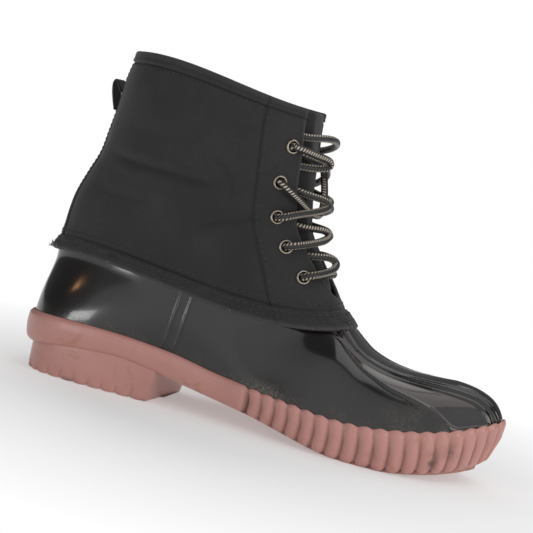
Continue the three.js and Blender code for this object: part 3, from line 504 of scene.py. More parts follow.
def noise(tree, scale, detail=4.0, roughness=.55, distortion=0.0):
    where = node(tree, "ShaderNodeTexCoord").outputs["Object"]
    made = node(tree, "ShaderNodeTexNoise", {
        "Vector": where, "Scale": scale, "Detail": detail, "Roughness": roughness, "Distortion": distortion,
    })
    return made.outputs["Fac"]


def span(tree, value, low, high, to_low=0.0, to_high=1.0):
    return node(tree, "ShaderNodeMapRange", {
        "Value": value, "From Min": low, "From Max": high, "To Min": to_low, "To Max": to_high,
    }, clamp=True).outputs["Result"]


def calc(tree, operation, a, b=0.0):
    return node(tree, "ShaderNodeMath", {0: a, 1: b}, operation=operation).outputs["Value"]


def mark(tree, name):
    return node(tree, "ShaderNodeAttribute", attribute_name=name).outputs["Fac"]


def mixed(tree, share, first, second):
    tones = [tone if isinstance(tone, bpy.types.NodeSocket) else (*tone, 1) for tone in (first, second)]
    made = node(tree, "ShaderNodeMix", {0: share, 6: tones[0], 7: tones[1]}, data_type="RGBA")
    return made.outputs[2]


# Normal from bumps on each other: height, distance in millimetres and strength
def bumps(tree, *layers):
    under = {}
    for height, distance, strength in layers:
        inputs = {"Height": height, "Distance": distance * MM, "Strength": strength, **under}
        under = {"Normal": node(tree, "ShaderNodeBump", inputs).outputs["Normal"]}
    return under["Normal"]


# Tones of the nubuck, and the pitch and bands of the lace's flecks
NUBUCK = (.031, .029, .031)
NUBUCK_WORN = (.075, .068, .066)
NUBUCK_DEEP = (.012, .011, .012)
FLECK_PITCH = 1.7
FLECK_BANDS = 3


def nubuck_material(name, base=NUBUCK, deep=NUBUCK_DEEP):
    material, tree, shader = new_material(name)
    cloud = noise(tree, 38, 3)
    nap = noise(tree, 420, 5, .7)
    grain = noise(tree, 1500, 2, .6)
    tone = mixed(tree, span(tree, cloud, .35, .7), deep, base)
    tone = mixed(tree, span(tree, nap, .3, .75, .45, 1), deep, tone)
    tone = mixed(tree, mark(tree, "worn"), tone, NUBUCK_WORN)
    # Painted shade: the deep mark turns the nubuck nearly black along its creases and seam grooves
    feed(tree, shader, {
        "Base Color": mixed(tree, mark(tree, "deep"), tone, (.004, .004, .004)),
        "Roughness": span(tree, cloud, .3, .7, .62, .82),
        "Sheen Weight": .12,
        "Sheen Roughness": .5,
        "Specular IOR Level": .3,
        "Normal": bumps(tree, (cloud, 1.2, .25), (nap, .25, .5), (grain, .08, .6)),
    })
    return material


def shell_material():
    material, tree, shader = new_material("gloss_rubber")
    cloud = noise(tree, 30, 4)
    speck = noise(tree, 700, 3, .7)
    dust = calc(tree, "MULTIPLY", mark(tree, "dust"), span(tree, speck, .42, .68))
    tone = mixed(tree, span(tree, cloud, .3, .7), (.0062, .005, .005), (.0098, .008, .0078))
    tone = mixed(tree, mark(tree, "brown"), tone, (.022, .011, .008))
    gloss = span(tree, cloud, .3, .7, .13, .22)
    feed(tree, shader, {
        "Base Color": mixed(tree, dust, tone, (.16, .13, .1)),
        "Roughness": calc(tree, "ADD", gloss, calc(tree, "MULTIPLY", dust, .5)),
        "Coat Weight": .3,
        "Coat Roughness": .05,
        "Normal": bumps(tree, (cloud, .8, .12), (speck, .04, .35)),
    })
    return material


def sole_material():
    material, tree, shader = new_material("sole_rubber")
    cloud = noise(tree, 24, 5, .6)
    smear = noise(tree, 60, 6, .65, 1.2)
    pore = noise(tree, 900, 3, .7)
    tone = mixed(tree, span(tree, cloud, .3, .72), (.44, .211, .182), (.51, .252, .22))
    stain = calc(tree, "MULTIPLY", span(tree, smear, .56, .7), mark(tree, "stain"))
    tone = mixed(tree, stain, tone, (.36, .17, .10))
    dirt = calc(tree, "MULTIPLY", span(tree, noise(tree, 130, 6, .7), .4, .62), mark(tree, "dirt"))
    tone = mixed(tree, dirt, tone, (.06, .045, .04))
    # Painted shade: the groove mark darkens the rubber in the grooves between the ribs
    feed(tree, shader, {
        "Base Color": mixed(tree, mark(tree, "groove"), tone, (.14, .065, .055)),
        "Roughness": span(tree, pore, .3, .7, .27, .4),
        "Specular IOR Level": .45,
        "Subsurface Weight": .06,
        "Subsurface Radius": (.9, .4, .3),
        "Subsurface Scale": 1.5 * MM,
        "Normal": bumps(tree, (cloud, .7, .2), (pore, .05, .5)),
    })
    return material


def plain_material(name, tone, second, scale, roughness, metallic=0.0, depth=.05):
    material, tree, shader = new_material(name)
    grain = noise(tree, scale, 4, .65)
    feed(tree, shader, {
        "Base Color": mixed(tree, span(tree, grain, .3, .7), tone, second),
        "Roughness": span(tree, grain, .3, .7, roughness * .85, min(1, roughness * 1.15)),
        "Metallic": metallic,
        "Normal": bumps(tree, (grain, depth, .6)),
    })
    return material


def lace_material():
    material, tree, shader = new_material("lace_cord")
    weave = noise(tree, 2600, 2, .6)
    dark = mixed(tree, span(tree, weave, .3, .7), (.007, .006, .006), (.022, .02, .019))
    around = calc(tree, "ARCTAN2", mark(tree, "over"), mark(tree, "aside"))
    angle = calc(tree, "MULTIPLY", around, FLECK_BANDS)
    down = calc(tree, "MULTIPLY", mark(tree, "down"), 2 * math.pi / FLECK_PITCH)
    ridges = calc(tree, "COSINE", calc(tree, "ADD", down, angle))
    stripe = span(tree, calc(tree, "COSINE", angle), .05, .35)
    fleck = calc(tree, "MULTIPLY", stripe, span(tree, ridges, -.1, .3))
    feed(tree, shader, {
        "Base Color": mixed(tree, fleck, dark, (.48, .42, .34)),
        "Roughness": .5,
        "Normal": bumps(tree, (span(tree, ridges, -1, 1), .3, .7), (weave, .08, .6)),
    })
    return material


nubuck = nubuck_material("nubuck")
facing_leather = nubuck_material("tongue_nubuck", (.015, .014, .014))
gloss = shell_material()
rubber = sole_material()
lining = plain_material("textile_lining", (.035, .034, .036), (.06, .058, .06), 900, .9, depth=.2)
footbed = plain_material("footbed_textile", (.05, .046, .042), (.09, .082, .074), 500, .85, depth=.2)
metal = plain_material("antique_metal", (.2, .165, .13), (.42, .37, .31), 300, .34, 1.0, .04)
thread = plain_material("stitch_thread", (.014, .013, .013), (.03, .028, .027), 2500, .7)
raw_thread = plain_material("raw_thread", (.12, .11, .1), (.3, .27, .24), 1800, .85)
cord_cloth = lace_material()

# Camera at the photograph's angle: turned towards the toe, looking slightly down, and rolled
CAMERA_TURN = math.radians(12)
CAMERA_RISE = math.radians(5)
CAMERA_ROLL = math.radians(13.375)
CAMERA_DISTANCE = 1000.0
CAMERA_AIM = (147.0, 0.0, 95.0)
CAMERA_LENS = 114.5
CAMERA_SHIFT = (-0.035, 0.0)


def make_camera():
    back = Vector((
        math.sin(CAMERA_TURN) * math.cos(CAMERA_RISE),
        -math.cos(CAMERA_TURN) * math.cos(CAMERA_RISE),
        math.sin(CAMERA_RISE),
    ))
    level = (-back).cross(Vector((0, 0, 1))).normalized()
    above = level.cross(-back)
    right = level * math.cos(CAMERA_ROLL) + above * math.sin(CAMERA_ROLL)
    up = above * math.cos(CAMERA_ROLL) - level * math.sin(CAMERA_ROLL)
    data = bpy.data.cameras.new("camera")
    data.sensor_width = 36
    data.lens = CAMERA_LENS
    data.shift_x, data.shift_y = CAMERA_SHIFT
    camera = bpy.data.objects.new("camera", data)
    bpy.context.collection.objects.link(camera)
    spot = Vector(place(CAMERA_AIM)) + back * CAMERA_DISTANCE * MM
    camera.matrix_world = Matrix((
        (right.x, up.x, back.x, spot.x),
        (right.y, up.y, back.y, spot.y),
        (right.z, up.z, back.z, spot.z),
        (0, 0, 0, 1),
    ))
    bpy.context.scene.camera = camera


make_camera()

# Lace: two strands that cross between the facings, and the two upper ends
LACE_DEPTH = -(LEATHER + FIT_GAP + LACE / 2 + .65)
LACE_RIDE = FACING_STEP + FIT_GAP + EYELET_LIP + LACE / 2 + .4
BOWS = [4.6, 8.6, 7.4, 5.6]
INNER_DROPS = [1.7, 0, .15, .2]
BAR_LIFT = .12
CORD_ROUNDS = 110

# Routes of the ends: level, turn and distance off the shaft
LACE_ENDS = {
    "lace_end_inner": [
        (7.3, -.793, 3.1), (7.28, -.8, 4.6), (7.25, -.83, 5.2), (7.12, -.88, 6.4), (6.92, -.945, 11),
        (6.7, -.957, 10.6), (6.6, -.935, 5.8), (6.58, -.9, .8), (6.58, -.855, -4.5), (6.6, -.82, -4.85),
    ],
    "lace_end_outer": [
        (7.3, .793, 3.1), (7.32, .8, 4.6), (7.4, .83, 5.4), (7.6, .9, 7.4), (7.85, .97, 8.4),
        (7.95, -.97, 6.6), (7.9, -.93, 2.6), (7.85, -.89, -1.4), (7.85, -.85, -4.7), (7.9, -.815, -4.85),
    ],
}


def tube(line, radius, sides=20):
    ahead = unit(np.gradient(line, axis=0))
    aside = np.zeros_like(line)
    aside[0] = unit(np.cross(ahead[0], [.3, .2, 1]))
    for n in range(1, len(line)):
        aside[n] = unit(aside[n - 1] - ahead[n] * (aside[n - 1] @ ahead[n]))
    over = np.cross(ahead, aside)
    angle = np.linspace(0, 2 * np.pi, sides, endpoint=False)
    along = lengths_along(line)
    rounds = angle[:, None] + 0 * along
    down = np.broadcast_to(along, rounds.shape)
    points = line + radius * (np.cos(angle)[:, None, None] * aside + np.sin(angle)[:, None, None] * over)
    faces = grid_faces(sides, len(line), wrap=True)[:, ::-1].tolist()
    faces.append([k * len(line) for k in range(sides)])
    faces.append([k * len(line) + len(line) - 1 for k in range(sides)][::-1])
    marks = {"down": down.ravel(), "aside": np.cos(rounds).ravel(), "over": np.sin(rounds).ravel()}
    return points.reshape(-1, 3), faces, marks


def spot(level, turn, out):
    return shaft(level, turn, np.asarray(out, float))


def through_eyelet(level, turn, side):
    return [spot(level, side * turn, out) for out in (LACE_DEPTH + 1.3, -.5, LACE_RIDE - 1.9)]


def strand(start, end, side, bow, drop):
    (low, low_turn), (high, high_turn) = start, end
    sag = lambda share: drop * np.interp(share, [0, .16, .4, .56, .7, .84], [0, .4, 1, 1, .6, 0])
    rise = lambda share: low + (high - low) * share - sag(share)
    return [
        *through_eyelet(low, low_turn, side),
        spot(rise(.06), side * (low_turn + .022), LACE_RIDE + .5),
        spot(rise(.16), side * (low_turn + .062), LACE_RIDE + .4),
        spot(rise(.4), side * .955, bow - .6),
        spot(rise(.56), side, bow),
        spot(rise(.7), -side * .965, bow - 1),
        spot(rise(.84), -side * (throat_turn(rise(.84)) + .04), -.4),
        spot(rise(.92), -side * (throat_turn(rise(.92)) - .004), LACE_DEPTH - .3),
        spot(high, -side * (high_turn + .024), LACE_DEPTH),
    ]


def lace_chain(first):
    low, low_turn = EYELETS[-1]
    bar = low + BAR_LIFT
    edge = throat_turn(bar)
    points = [
        spot(bar, 1, 2.2),
        spot(bar, first * (edge + .04), .6),
        spot(bar, first * (edge - .005), LACE_DEPTH),
        spot(low, first * (low_turn + .024), LACE_DEPTH),
    ]
    side = first
    for n in range(len(EYELETS) - 1, 0, -1):
        points += strand(EYELETS[n], EYELETS[n - 1], side, BOWS[n - 1], INNER_DROPS[n - 1] if side < 0 else 0)
        side = -side
    return points + through_eyelet(*EYELETS[0], side)


def make_lace():
    for name, route in LACE_ENDS.items():
        line = even(through([spot(*row) for row in route], 24), .45)
        for _ in range(CORD_ROUNDS):
            line[1:-1] = (line[1:-1] + (line[:-2] + line[2:]) / 2) / 2
        points, faces, marks = tube(line, LACE / 2)
        made = piece(name + "_cord", points, faces, cord_cloth, "lace_cord", [name], marks)
    chains = [tube(even(through(lace_chain(first), 24), .5), LACE / 2, 16) for first in (-1, 1)]
    shift = len(chains[0][0])
    points = np.vstack([chain[0] for chain in chains])
    faces = chains[0][1] + [[n + shift for n in face] for face in chains[1][1]]
    marks = {key: np.concatenate([chain[2][key] for chain in chains]) for key in ("down", "aside", "over")}
    piece("lace_crossings", points, faces, cord_cloth, "lace_cord", ["lace"], marks)


make_lace()


# Outsole: smooth band behind, ribs in front, and the heel block
FOOT_ROUND = 2.4
LIP_ROUND = 1.3
RIB_DIP = 0.7
RIB_SWAY = 0.35
BAND_BULGE = 0.9
LUG_NOTCH = 1.9
TREAD_START = 150.0

# Spots of dirt: length, height and their spreads, and strength
DIRT_SPOTS = [(262, 13, 3, 5, 1), (271, 19, 3, 4, .8)]


def rib_shares():
    share = (np.arange(RIB_POINTS) + .5) / RIB_POINTS
    share = share + .045 * np.sin(2 * np.pi * share)
    leaned = share ** RIB_LEAN
    return share, 1 - np.sin(np.pi * leaned) ** .36, 1 - np.sin(np.pi * share)


def sole_columns():
    whole, start, tip, back = ARCS[-1], arc_at(RIB_START), arc_at(HALF), arc_at(LOOP - RIB_START)
    share, cut, dip = rib_shares()
    rib = (np.arange(RIB_COUNT)[:, None] + share).ravel() / RIB_COUNT
    rear = np.linspace(0, start, 72)[:-1]
    behind = np.linspace(back, whole, 72)[1:-1]
    near = start + (tip - start) * rib
    far = back - (back - tip) * rib[::-1]
    arcs = np.concatenate([rear, [start], near, far, [back], behind])
    rows = [np.tile(values, RIB_COUNT) for values in (cut, dip)]
    return arcs, *(np.concatenate([0 * rear, [1], row, row[::-1], [1], 0 * behind]) for row in rows)


def bowed(arcs, rise):
    near = np.minimum(arcs, ARCS[-1] - arcs)
    start, tip = arc_at(RIB_START), arc_at(HALF)
    side = np.where(arcs < tip, 1, -1)
    zone = stretch(near, start - 20, start, tip - 40, tip)
    toe = stretch(near, start + 30, tip - 50, tip - 22, tip)
    return at_arc(arcs + side * (zone * RIB_BOW * np.sin(np.pi * rise) + toe * RIB_SLANT * (1 - rise)))


def wall_ring(columns, rise):
    arcs, cuts, dips = columns
    u = bowed(arcs, rise)
    low, high = under_at(u), top_at(u)
    near = np.minimum(u, LOOP - u)
    front = smooth(near, RIB_START - .15, RIB_START + .1)
    foot_round = np.clip(1 - rise / .3, 0, 1)
    lip_round = np.clip((rise - .86) / .14, 0, 1)
    inset = TOE_TUCK * foot("tuck", u) * np.interp(rise, [0, .12, .6, 1], [1, .6, .1, 0])
    inset = inset + FOOT_ROUND * (1 - np.sqrt(np.maximum(0, 1 - foot_round ** 2)))
    inset = inset + LIP_ROUND * lip_round ** 2
    inset = inset + RIB_DEPTH * cuts * np.interp(rise, [0, .1, .5, .8, 1], [1, 1, 1, .5, .15])
    inset = inset + (RIB_DIP * dips + RIB_SWAY * front * np.cos(np.pi * rise)) * front
    inset = inset - (1 - front) * BAND_BULGE * np.sin(np.pi * rise) ** .8
    x, y = outline(u, inset).T
    wave = RIB_WAVE * dips * rise ** 3
    lug = LUG_NOTCH * (.6 * cuts + .4 * dips) * (1 - rise) ** 7
    return np.stack([x, y, low + rise * (high - low) - wave + lug], -1)


def tread_height(ring):
    x, y = ring[:, 0], ring[:, 1]
    bars = np.abs(np.sin(np.pi * (x + TREAD_WAVE * np.cos(np.pi * y / 13)) / TREAD_PITCH))
    return TREAD_DEPTH * (1 - smooth(bars, .22, .42))


def towards_middle(ring, share):
    middle = ring.copy()
    middle[:, 1] = np.interp(ring[:, 0], [0, FOOT_LENGTH], [0, 2])
    out = ring + (middle - ring) * share
    out[:, 2] = under_over(out[:, 0])
    out[:, 2] += tread_height(out) * smooth(out[:, 0], TREAD_START, TREAD_START + 15)
    return out


def make_sole():
    columns = sole_columns()
    arcs, cuts, dips = columns
    u = at_arc(arcs)
    tuck = TOE_TUCK * foot("tuck", u)
    edge = outline(u, tuck + TREAD_EDGE)
    edge = np.column_stack([edge, under_over(edge[:, 0])])
    rings = [towards_middle(edge, share) for share in np.linspace(1, 0, 16)]
    near_edge = outline(u, tuck + 3.6)
    rings.append(np.column_stack([near_edge, under_over(near_edge[:, 0])]))
    rises = np.concatenate([[0, .03, .07, .12, .17], np.linspace(.23, .84, 13), [.88, .92, .955, .985, 1]])
    first_wall = len(rings)
    rings += [wall_ring(columns, rise) for rise in rises]
    for inset, drop in ((1.9, -.1), (SEAT_INSET, .4), (SEAT_INSET, 1.6)):
        lip = outline(u, np.full_like(u, inset))
        rings.append(np.column_stack([lip, top_at(u) - drop - RIB_WAVE * dips]))
    seat = outline(u, np.full_like(u, SEAT_INSET))
    floor = np.column_stack([seat, top_over(seat[:, 0]) - SEAT_DEPTH])
    for share in (0, .35, .7, 1):
        rings.append(floor * [1, 1 - share, 1])
    # Painted shade in the grooves between the ribs, strongest low on the wall and gone at its top
    groove = np.zeros((len(u), len(rings)))
    depth = np.interp(rises, [0, .5, .8, 1], [1, 1, .45, 0])
    groove[:, first_wall:first_wall + len(rises)] = smooth(cuts, .3, .8)[:, None] * depth
    points, faces, first = ringed(rings)
    block = heel_block()
    groove = np.concatenate([groove.ravel()[first], np.zeros(len(block[0]))])
    points, faces = joined((points, faces), block)
    piece("outsole_moulding", points, faces, rubber, "sole_rubber", ["outsole"], sole_marks(points, groove))


def joined(*parts):
    points, faces, shift = [], [], 0
    for some, rows in parts:
        points.append(some)
        faces += [tuple(n + shift for n in row) for row in rows]
        shift += len(some)
    return np.vstack(points), faces


# Heel block, with lobes along its bottom edge: rings by height, cut of the grooves, inset and lean
HEEL_RINGS = [
    (0, 1, 1.2, 0), (.25, 1, .6, 0), (.8, 1, .2, .05), (1.8, .9, 0, .1), (3, .7, 0, .15),
    (4.2, .45, 0, .2), (5.4, .2, 0, .28), (6.6, 0, 0, .36), (9, 0, 0, .55), (11.5, 0, 0, .75),
]


def heel_columns():
    fore = float(at_arc(np.interp(BREAST, FINE_LINE[FINE_U < HALF, 0], ARCS[FINE_U < HALF])))
    share = np.linspace(0, 1, 10, endpoint=False)
    steps = (np.arange(HEEL_LUGS)[:, None] + share).ravel() / HEEL_LUGS
    groove = np.tile(1 - np.abs(np.sin(np.pi * share)) ** .5, HEEL_LUGS)
    inner = at_arc(arc_at(fore) * steps)
    behind = arc_at(LOOP - fore)
    outer = at_arc(behind + (ARCS[-1] - behind) * steps)
    groove_out = groove.copy()
    groove_out[0] = 0
    return fore, np.concatenate([inner, [fore], outer]), np.concatenate([groove, [0], groove_out])


def heel_ring(fore, u, cuts, height, cut, edge, lean):
    near = np.minimum(u, LOOP - u)
    back = np.clip(1 - near / 2.6, 0, 1)
    setback = HEEL_STEP + (HEEL_SET - HEEL_STEP) * back * back * (3 - 2 * back)
    x, y = outline(u, setback + edge + cut * cuts * .9).T
    skew = BREAST_SKEW * (y + BALL_INNER) / (BALL_INNER + BALL_OUTER)
    x = x + smooth(near, fore - .6, fore) * (skew + lean)
    z = height(u) + cut * cuts * .5
    ring = np.stack([x, y, z], -1)
    split = len(u) // 2
    share = np.linspace(0, 1, 26)[1:-1, None]
    a, b = ring[split], ring[split + 1]
    breast = a + (b - a) * share
    return np.vstack([ring[:split + 1], breast, ring[split + 1:]])


def heel_block():
    fore, u, cuts = heel_columns()
    top = lambda at: under_at(at) + HEEL_GRIP
    rings = []
    base = heel_ring(fore, u, cuts, lambda at: 0 * at, 0, TREAD_EDGE, 0)
    for share in np.linspace(1, 0, 14):
        ring = base.copy()
        ring[:, 1] *= 1 - share
        ring[:, 2] = tread_height(ring) * (1 - smooth(np.abs(ring[:, 0] - 45), 42, 46))
        rings.append(ring)
    for rise, cut, edge, lean in HEEL_RINGS:
        height = lambda at, rise=rise: np.minimum(rise, under_at(at) - 1)
        rings.append(heel_ring(fore, u, cuts, height, HEEL_LUG_CUT * cut, edge, BREAST_LEAN * lean))
    rings.append(heel_ring(fore, u, cuts, lambda at: under_at(at) - .8, 0, 0, BREAST_LEAN))
    rings.append(heel_ring(fore, u, cuts, top, 0, .6, BREAST_LEAN + 1))
    last = rings[-1].copy()
    last[:, 1] = 0
    rings.append(last)
    points, faces, _ = ringed(rings)
    return points, faces


def sole_marks(points, groove):
    x, y, z = points.T
    wave = .5 + .5 * ripples(points, 22, 5)
    dirt = .7 * (1 - smooth(z, .5, 3)) * wave
    for far, high, long, tall, strength in DIRT_SPOTS:
        dirt += strength * bell(x, far, long) * bell(z, high, tall) * (y < 0)
    stain = .2 + .8 * wave * (1 - smooth(z, 20, 34))
    # The groove mark is painted shade; dirt and stain are the rubber's own marks
    return {"groove": groove, "dirt": np.clip(dirt, 0, 1), "stain": np.clip(stain, 0, 1)}


make_sole()

# Shell: rubber foot from the seat to under the hem, closed over the toe
STRIP_ALONG = [.62, .645, .675, .72, .78, .85, .9, .935, .98]
STRIP_EDGE = [.3, .35, .4, .41, .4, .38, .345, .3, .25]
STRIP_RIDGE = [.34, .46, .55, .64, .705, .7, .68, .62, .5]
STRAP_FOOT = .3 * FOOT_LENGTH
STRAP_HEAD = .337 * FOOT_LENGTH
STRAP_TOP = 2.3 * BAND_TOP
STRAP_START = 33.0
STRAP_WIDTH = 8.2
STRIP_START = .6 * FOOT_LENGTH
RIDGE_RISE = 1.4
CHANNEL_SINK = .9
SHELL_UNEVEN = .12
SHELL_EASE = .8
DUST_WIDE = 12.0

# Fine lines inside the strip's edge: distance, half width and height
STRIP_LINES = [(1.2, .7, .55), (3.2, .7, -.45), (5, .8, .3)]


def section_of(turn):
    sections = np.linspace(0, THROAT_AT, 2001)
    return np.interp(turn, np.maximum.accumulate(foot("turn", sections)), sections)


def crest_at(u):
    near = np.minimum(u, LOOP - u)
    start = spot(0, 1, HEM_SINK)
    reach = FOOT_LENGTH - start[0]

    def value(key, scale, first):
        row = looped(key) * scale + (start[0] if key == "crest" else 0)
        after = row[THROAT_AT + 1]
        for n in range(THROAT_AT + 1):
            row[n] = row[(LOOP - n) % LOOP] = first + (THROAT_AT - n) * (first - after)
        return spline(row, near)

    x = value("crest", reach, start[0])
    return np.stack([x, 0 * x, value("height", VAMP_HEIGHT, start[2])], -1)


def shell_grid(u, turn, shares):
    inner = u <= HALF
    near = np.minimum(u, LOOP - u)
    plan = outline(u, np.full_like(u, SEAT_INSET + FIT_GAP))
    base = np.column_stack([plan, top_over(plan[:, 0]) - SEAT_DEPTH + FIT_GAP])
    rim = shaft(0, np.where(inner, -turn, turn), np.full_like(u, HEM_SINK))
    top = np.where((near < THROAT_AT)[:, None], rim, crest_at(u))
    way = outline_normal(u)
    height = top[:, 2] - base[:, 2]
    width = np.hypot(*(top - base)[:, :2].T)
    sweep = foot("sweep", u)
    side = np.where(inner, -1, 1)
    out = unit(np.stack([way[:, 0] * sweep, side * (1 - sweep) + way[:, 1] * sweep, 0 * u], -1))
    swell = foot("swell", u) * SHELL_SWELL
    first = base + np.stack([way[:, 0] * swell, way[:, 1] * swell, foot("rise", u) * height], -1)
    second = top + out * (foot("crown", u) * width)[:, None]
    second[:, 2] -= foot("drop", u) * height
    v = shares[None, :, None]
    a, b, c, d = (p[:, None, :] for p in (base, first, second, top))
    return a * (1 - v) ** 3 + 3 * b * v * (1 - v) ** 2 + 3 * c * v ** 2 * (1 - v) + d * v ** 3


def shell_surface(turns, front, shares, tucks):
    u = np.concatenate([section_of(turns), front[1:]])
    turn = np.concatenate([turns, np.ones(len(front) - 1)])
    u = np.concatenate([u, LOOP - u[-2:0:-1]])
    turn = np.concatenate([turn, turn[-2:0:-1]])
    grid = shell_grid(u, turn, shares)
    around = np.concatenate([-turns, turns[-2:0:-1]])
    cuff = shaft(tucks[None, :], around[:, None], np.full((len(around), len(tucks)), HEM_SINK))
    points, faces = joined(
        (grid.reshape(-1, 3), grid_faces(len(u), len(shares), wrap=True).tolist()),
        (cuff.reshape(-1, 3), grid_faces(len(around), len(tucks), wrap=True).tolist()),
    )
    points, faces, _ = weld(points, np.array(faces), .02)
    z = points[:, 2]
    seat = top_over(np.clip(points[:, 0], 2, FOOT_LENGTH - 1)) - SEAT_DEPTH
    rim, _ = line_distance(points, shaft(0, np.linspace(-1, 1, 120), np.full(120, HEM_SINK)))
    return points, faces, smooth(z - seat, 1, 6) * smooth(rim, .5, 5), seat


def strip_line(row, side, surface, shift=0.0):
    half = BALL_INNER if side < 0 else BALL_OUTER
    along = even(np.column_stack([STRIP_ALONG, row]), .01)
    plan = np.column_stack([along[:, 0] * FOOT_LENGTH, side * (along[:, 1] * half + shift)])
    out = []
    for x, y in plan:
        near = np.hypot(surface[:, 0] - x, surface[:, 1] - y)
        close = surface[near < near.min() + 1.0]
        out.append(close[np.argmax(close[:, 2])])
    line = np.array(out)
    for _ in range(5):
        line[1:-1] = (line[:-2] + 2 * line[1:-1] + line[2:]) / 4
    return line


def shell_relief(points):
    x, y, z = points.T
    side = np.where(y < 0, -1, 1)
    half = np.where(y < 0, BALL_INNER, BALL_OUTER)
    along = x / FOOT_LENGTH
    edge = np.interp(along, STRIP_ALONG, STRIP_EDGE) * half
    ridge = np.interp(along, STRIP_ALONG, STRIP_RIDGE) * half
    surface = points[(x > .58 * FOOT_LENGTH) & (z > 24)]
    relief = np.zeros(len(points))
    brown = np.zeros(len(points))
    for way in (-1, 1):
        mine = side == way
        line = strip_line(STRIP_EDGE, way, surface)
        gap, _ = line_distance(points, line)
        inside = np.where(np.abs(y) < np.interp(x, line[:, 0], np.abs(line[:, 1])), gap, -gap)
        reach = smooth(x, STRIP_START, STRIP_START + .03 * FOOT_LENGTH)
        strip = 1.3 * RAISE * smooth(inside, -.6, .5)
        for depth, wide, high in STRIP_LINES:
            strip += high * bell(inside, depth, wide)
        gap, share = line_distance(points, strip_line(STRIP_RIDGE, way, surface))
        bead = RIDGE_RISE * bell(gap, 0, .95) * stretch(share, .02, .2, .93, 1)
        channel = stretch(np.abs(y), edge + .5, edge + 2.5, ridge - 3, ridge) * reach
        across = x - (STRAP_FOOT + (STRAP_HEAD - STRAP_FOOT) * z / STRAP_TOP)
        strap = bell(across, .7, .75) + bell(across, STRAP_WIDTH - .7, .75)
        strap += .35 * stretch(across, -.6, .6, STRAP_WIDTH - .6, STRAP_WIDTH + .6)
        strap *= smooth(z, STRAP_START, STRAP_START + 3)
        relief += np.where(mine, strip * reach + bead - CHANNEL_SINK * channel + strap, 0)
        brown += np.where(mine, channel * (1 - smooth(along, .93, .97)), 0)
    cover = smooth(z - top_over(np.clip(x, 2, FOOT_LENGTH - 1)), -.5, 1)
    return relief * cover, np.clip(brown, 0, 1)


def make_shell():
    turns = np.concatenate([
        np.linspace(0, .4, 60)[:-1], np.linspace(.4, .6, 150)[:-1], np.linspace(.6, 1, 90),
    ])
    front = np.concatenate([np.linspace(THROAT_AT, 15, 120), np.linspace(15, HALF, 50)[1:]])
    shares = np.concatenate([np.linspace(0, .42, 14)[:-1], np.linspace(.42, 1, 56)])
    points, faces, loose, seat = shell_surface(turns, front, shares, np.array([0, .12, .3]))
    points = relax(points, faces, SHELL_EASE * loose, 50)
    normals = point_normals(points, faces)
    relief, brown = shell_relief(points)
    outer = points + normals * (relief + SHELL_UNEVEN * ripples(points, 40, 3))[:, None]
    x, z = points[:, 0], points[:, 2]
    wave = .5 + .5 * ripples(points, 17, 8)
    above = z - top_over(np.clip(x, 2, FOOT_LENGTH - 1))
    dust = bell(above, 0, 5) * (.3 * wave + .9 * bell(x, 158, DUST_WIDE))
    dust += .5 * bell(x, 246, DUST_WIDE) * bell(above, 9, 6) * wave
    turns, front = np.linspace(0, 1, 90), np.linspace(THROAT_AT, HALF, 60)
    tucks = np.array([0, .1, .25, .45, .7, SHELL_TUCK])
    wall, rows, loose, seat = shell_surface(turns, front, np.linspace(0, 1, 18), tucks)
    wall = relax(wall, rows, SHELL_EASE * loose, 5)
    normals = point_normals(wall, rows)
    sunk = wall - normals * smooth(loose, 0, 1)[:, None]
    inside = wall - normals * SHELL_WALL
    low = wall[:, 2] < seat + 1
    inside[low, 2] = wall[low, 2]
    closed, rows = thicken(sunk, inside, rows, SHELL_WALL * .3)
    points, faces = joined((outer, faces), (closed, rows))
    spare = np.zeros(len(closed))
    marks = {"dust": np.concatenate([np.clip(dust, 0, 1), spare]), "brown": np.concatenate([brown, spare])}
    lined = (len(outer), len(points))
    piece("shell_moulding", points, faces, gloss, "shell_rubber", ["shell"], marks, lining, lined)


make_shell()

# Creases of the shaft in the side view: points from back to front, with depth, which also sets their painted
# shade, and width
CREASES = [
    {
        "line": [(33, 137), (56, 134.6), (72, 133.9), (86, 133.4), (103, 133), (112, 132.4)],
        "deep": 1.2, "wide": 2.6,
    },
    {"line": [(94, 105), (106, 110.8), (118, 115.4), (131, 119.6), (140, 122)], "deep": .8, "wide": 2.8},
    {"line": [(98, 150), (106, 146.2), (112, 139.5), (115, 131), (116, 124)], "deep": .6, "wide": 3.4},
    {"line": [(26, 116), (40, 113), (58, 112.6), (74, 114)], "deep": .45, "wide": 4.5},
    {"line": [(40, 155), (60, 152), (84, 153)], "deep": .35, "wide": 5.5},
    {"line": [(125, 143), (133, 148), (137, 156)], "deep": .45, "wide": 3},
]
OUTER_SHIFT = 3.5
RELIEF_WAVE = .35
HEM_FLARE = 1.1
HEM_PUCKER = .6
SEAM_WIDE = .005
HOLE_MARGIN = .9

# Seam grooves along the shaft's rings: level, half width and depth
LEVEL_SEAMS = [(COLLAR_EDGE - .02, .04, .55), (COLLAR_EDGE + .17, .035, .3), (HEM_BAND + .03, .05, .5)]


# Turn of the backstay's edge at a level
def stay_turn(level):
    return STAY_WIDTH * (1 - STAY_TAPER * level / TOP_RING)


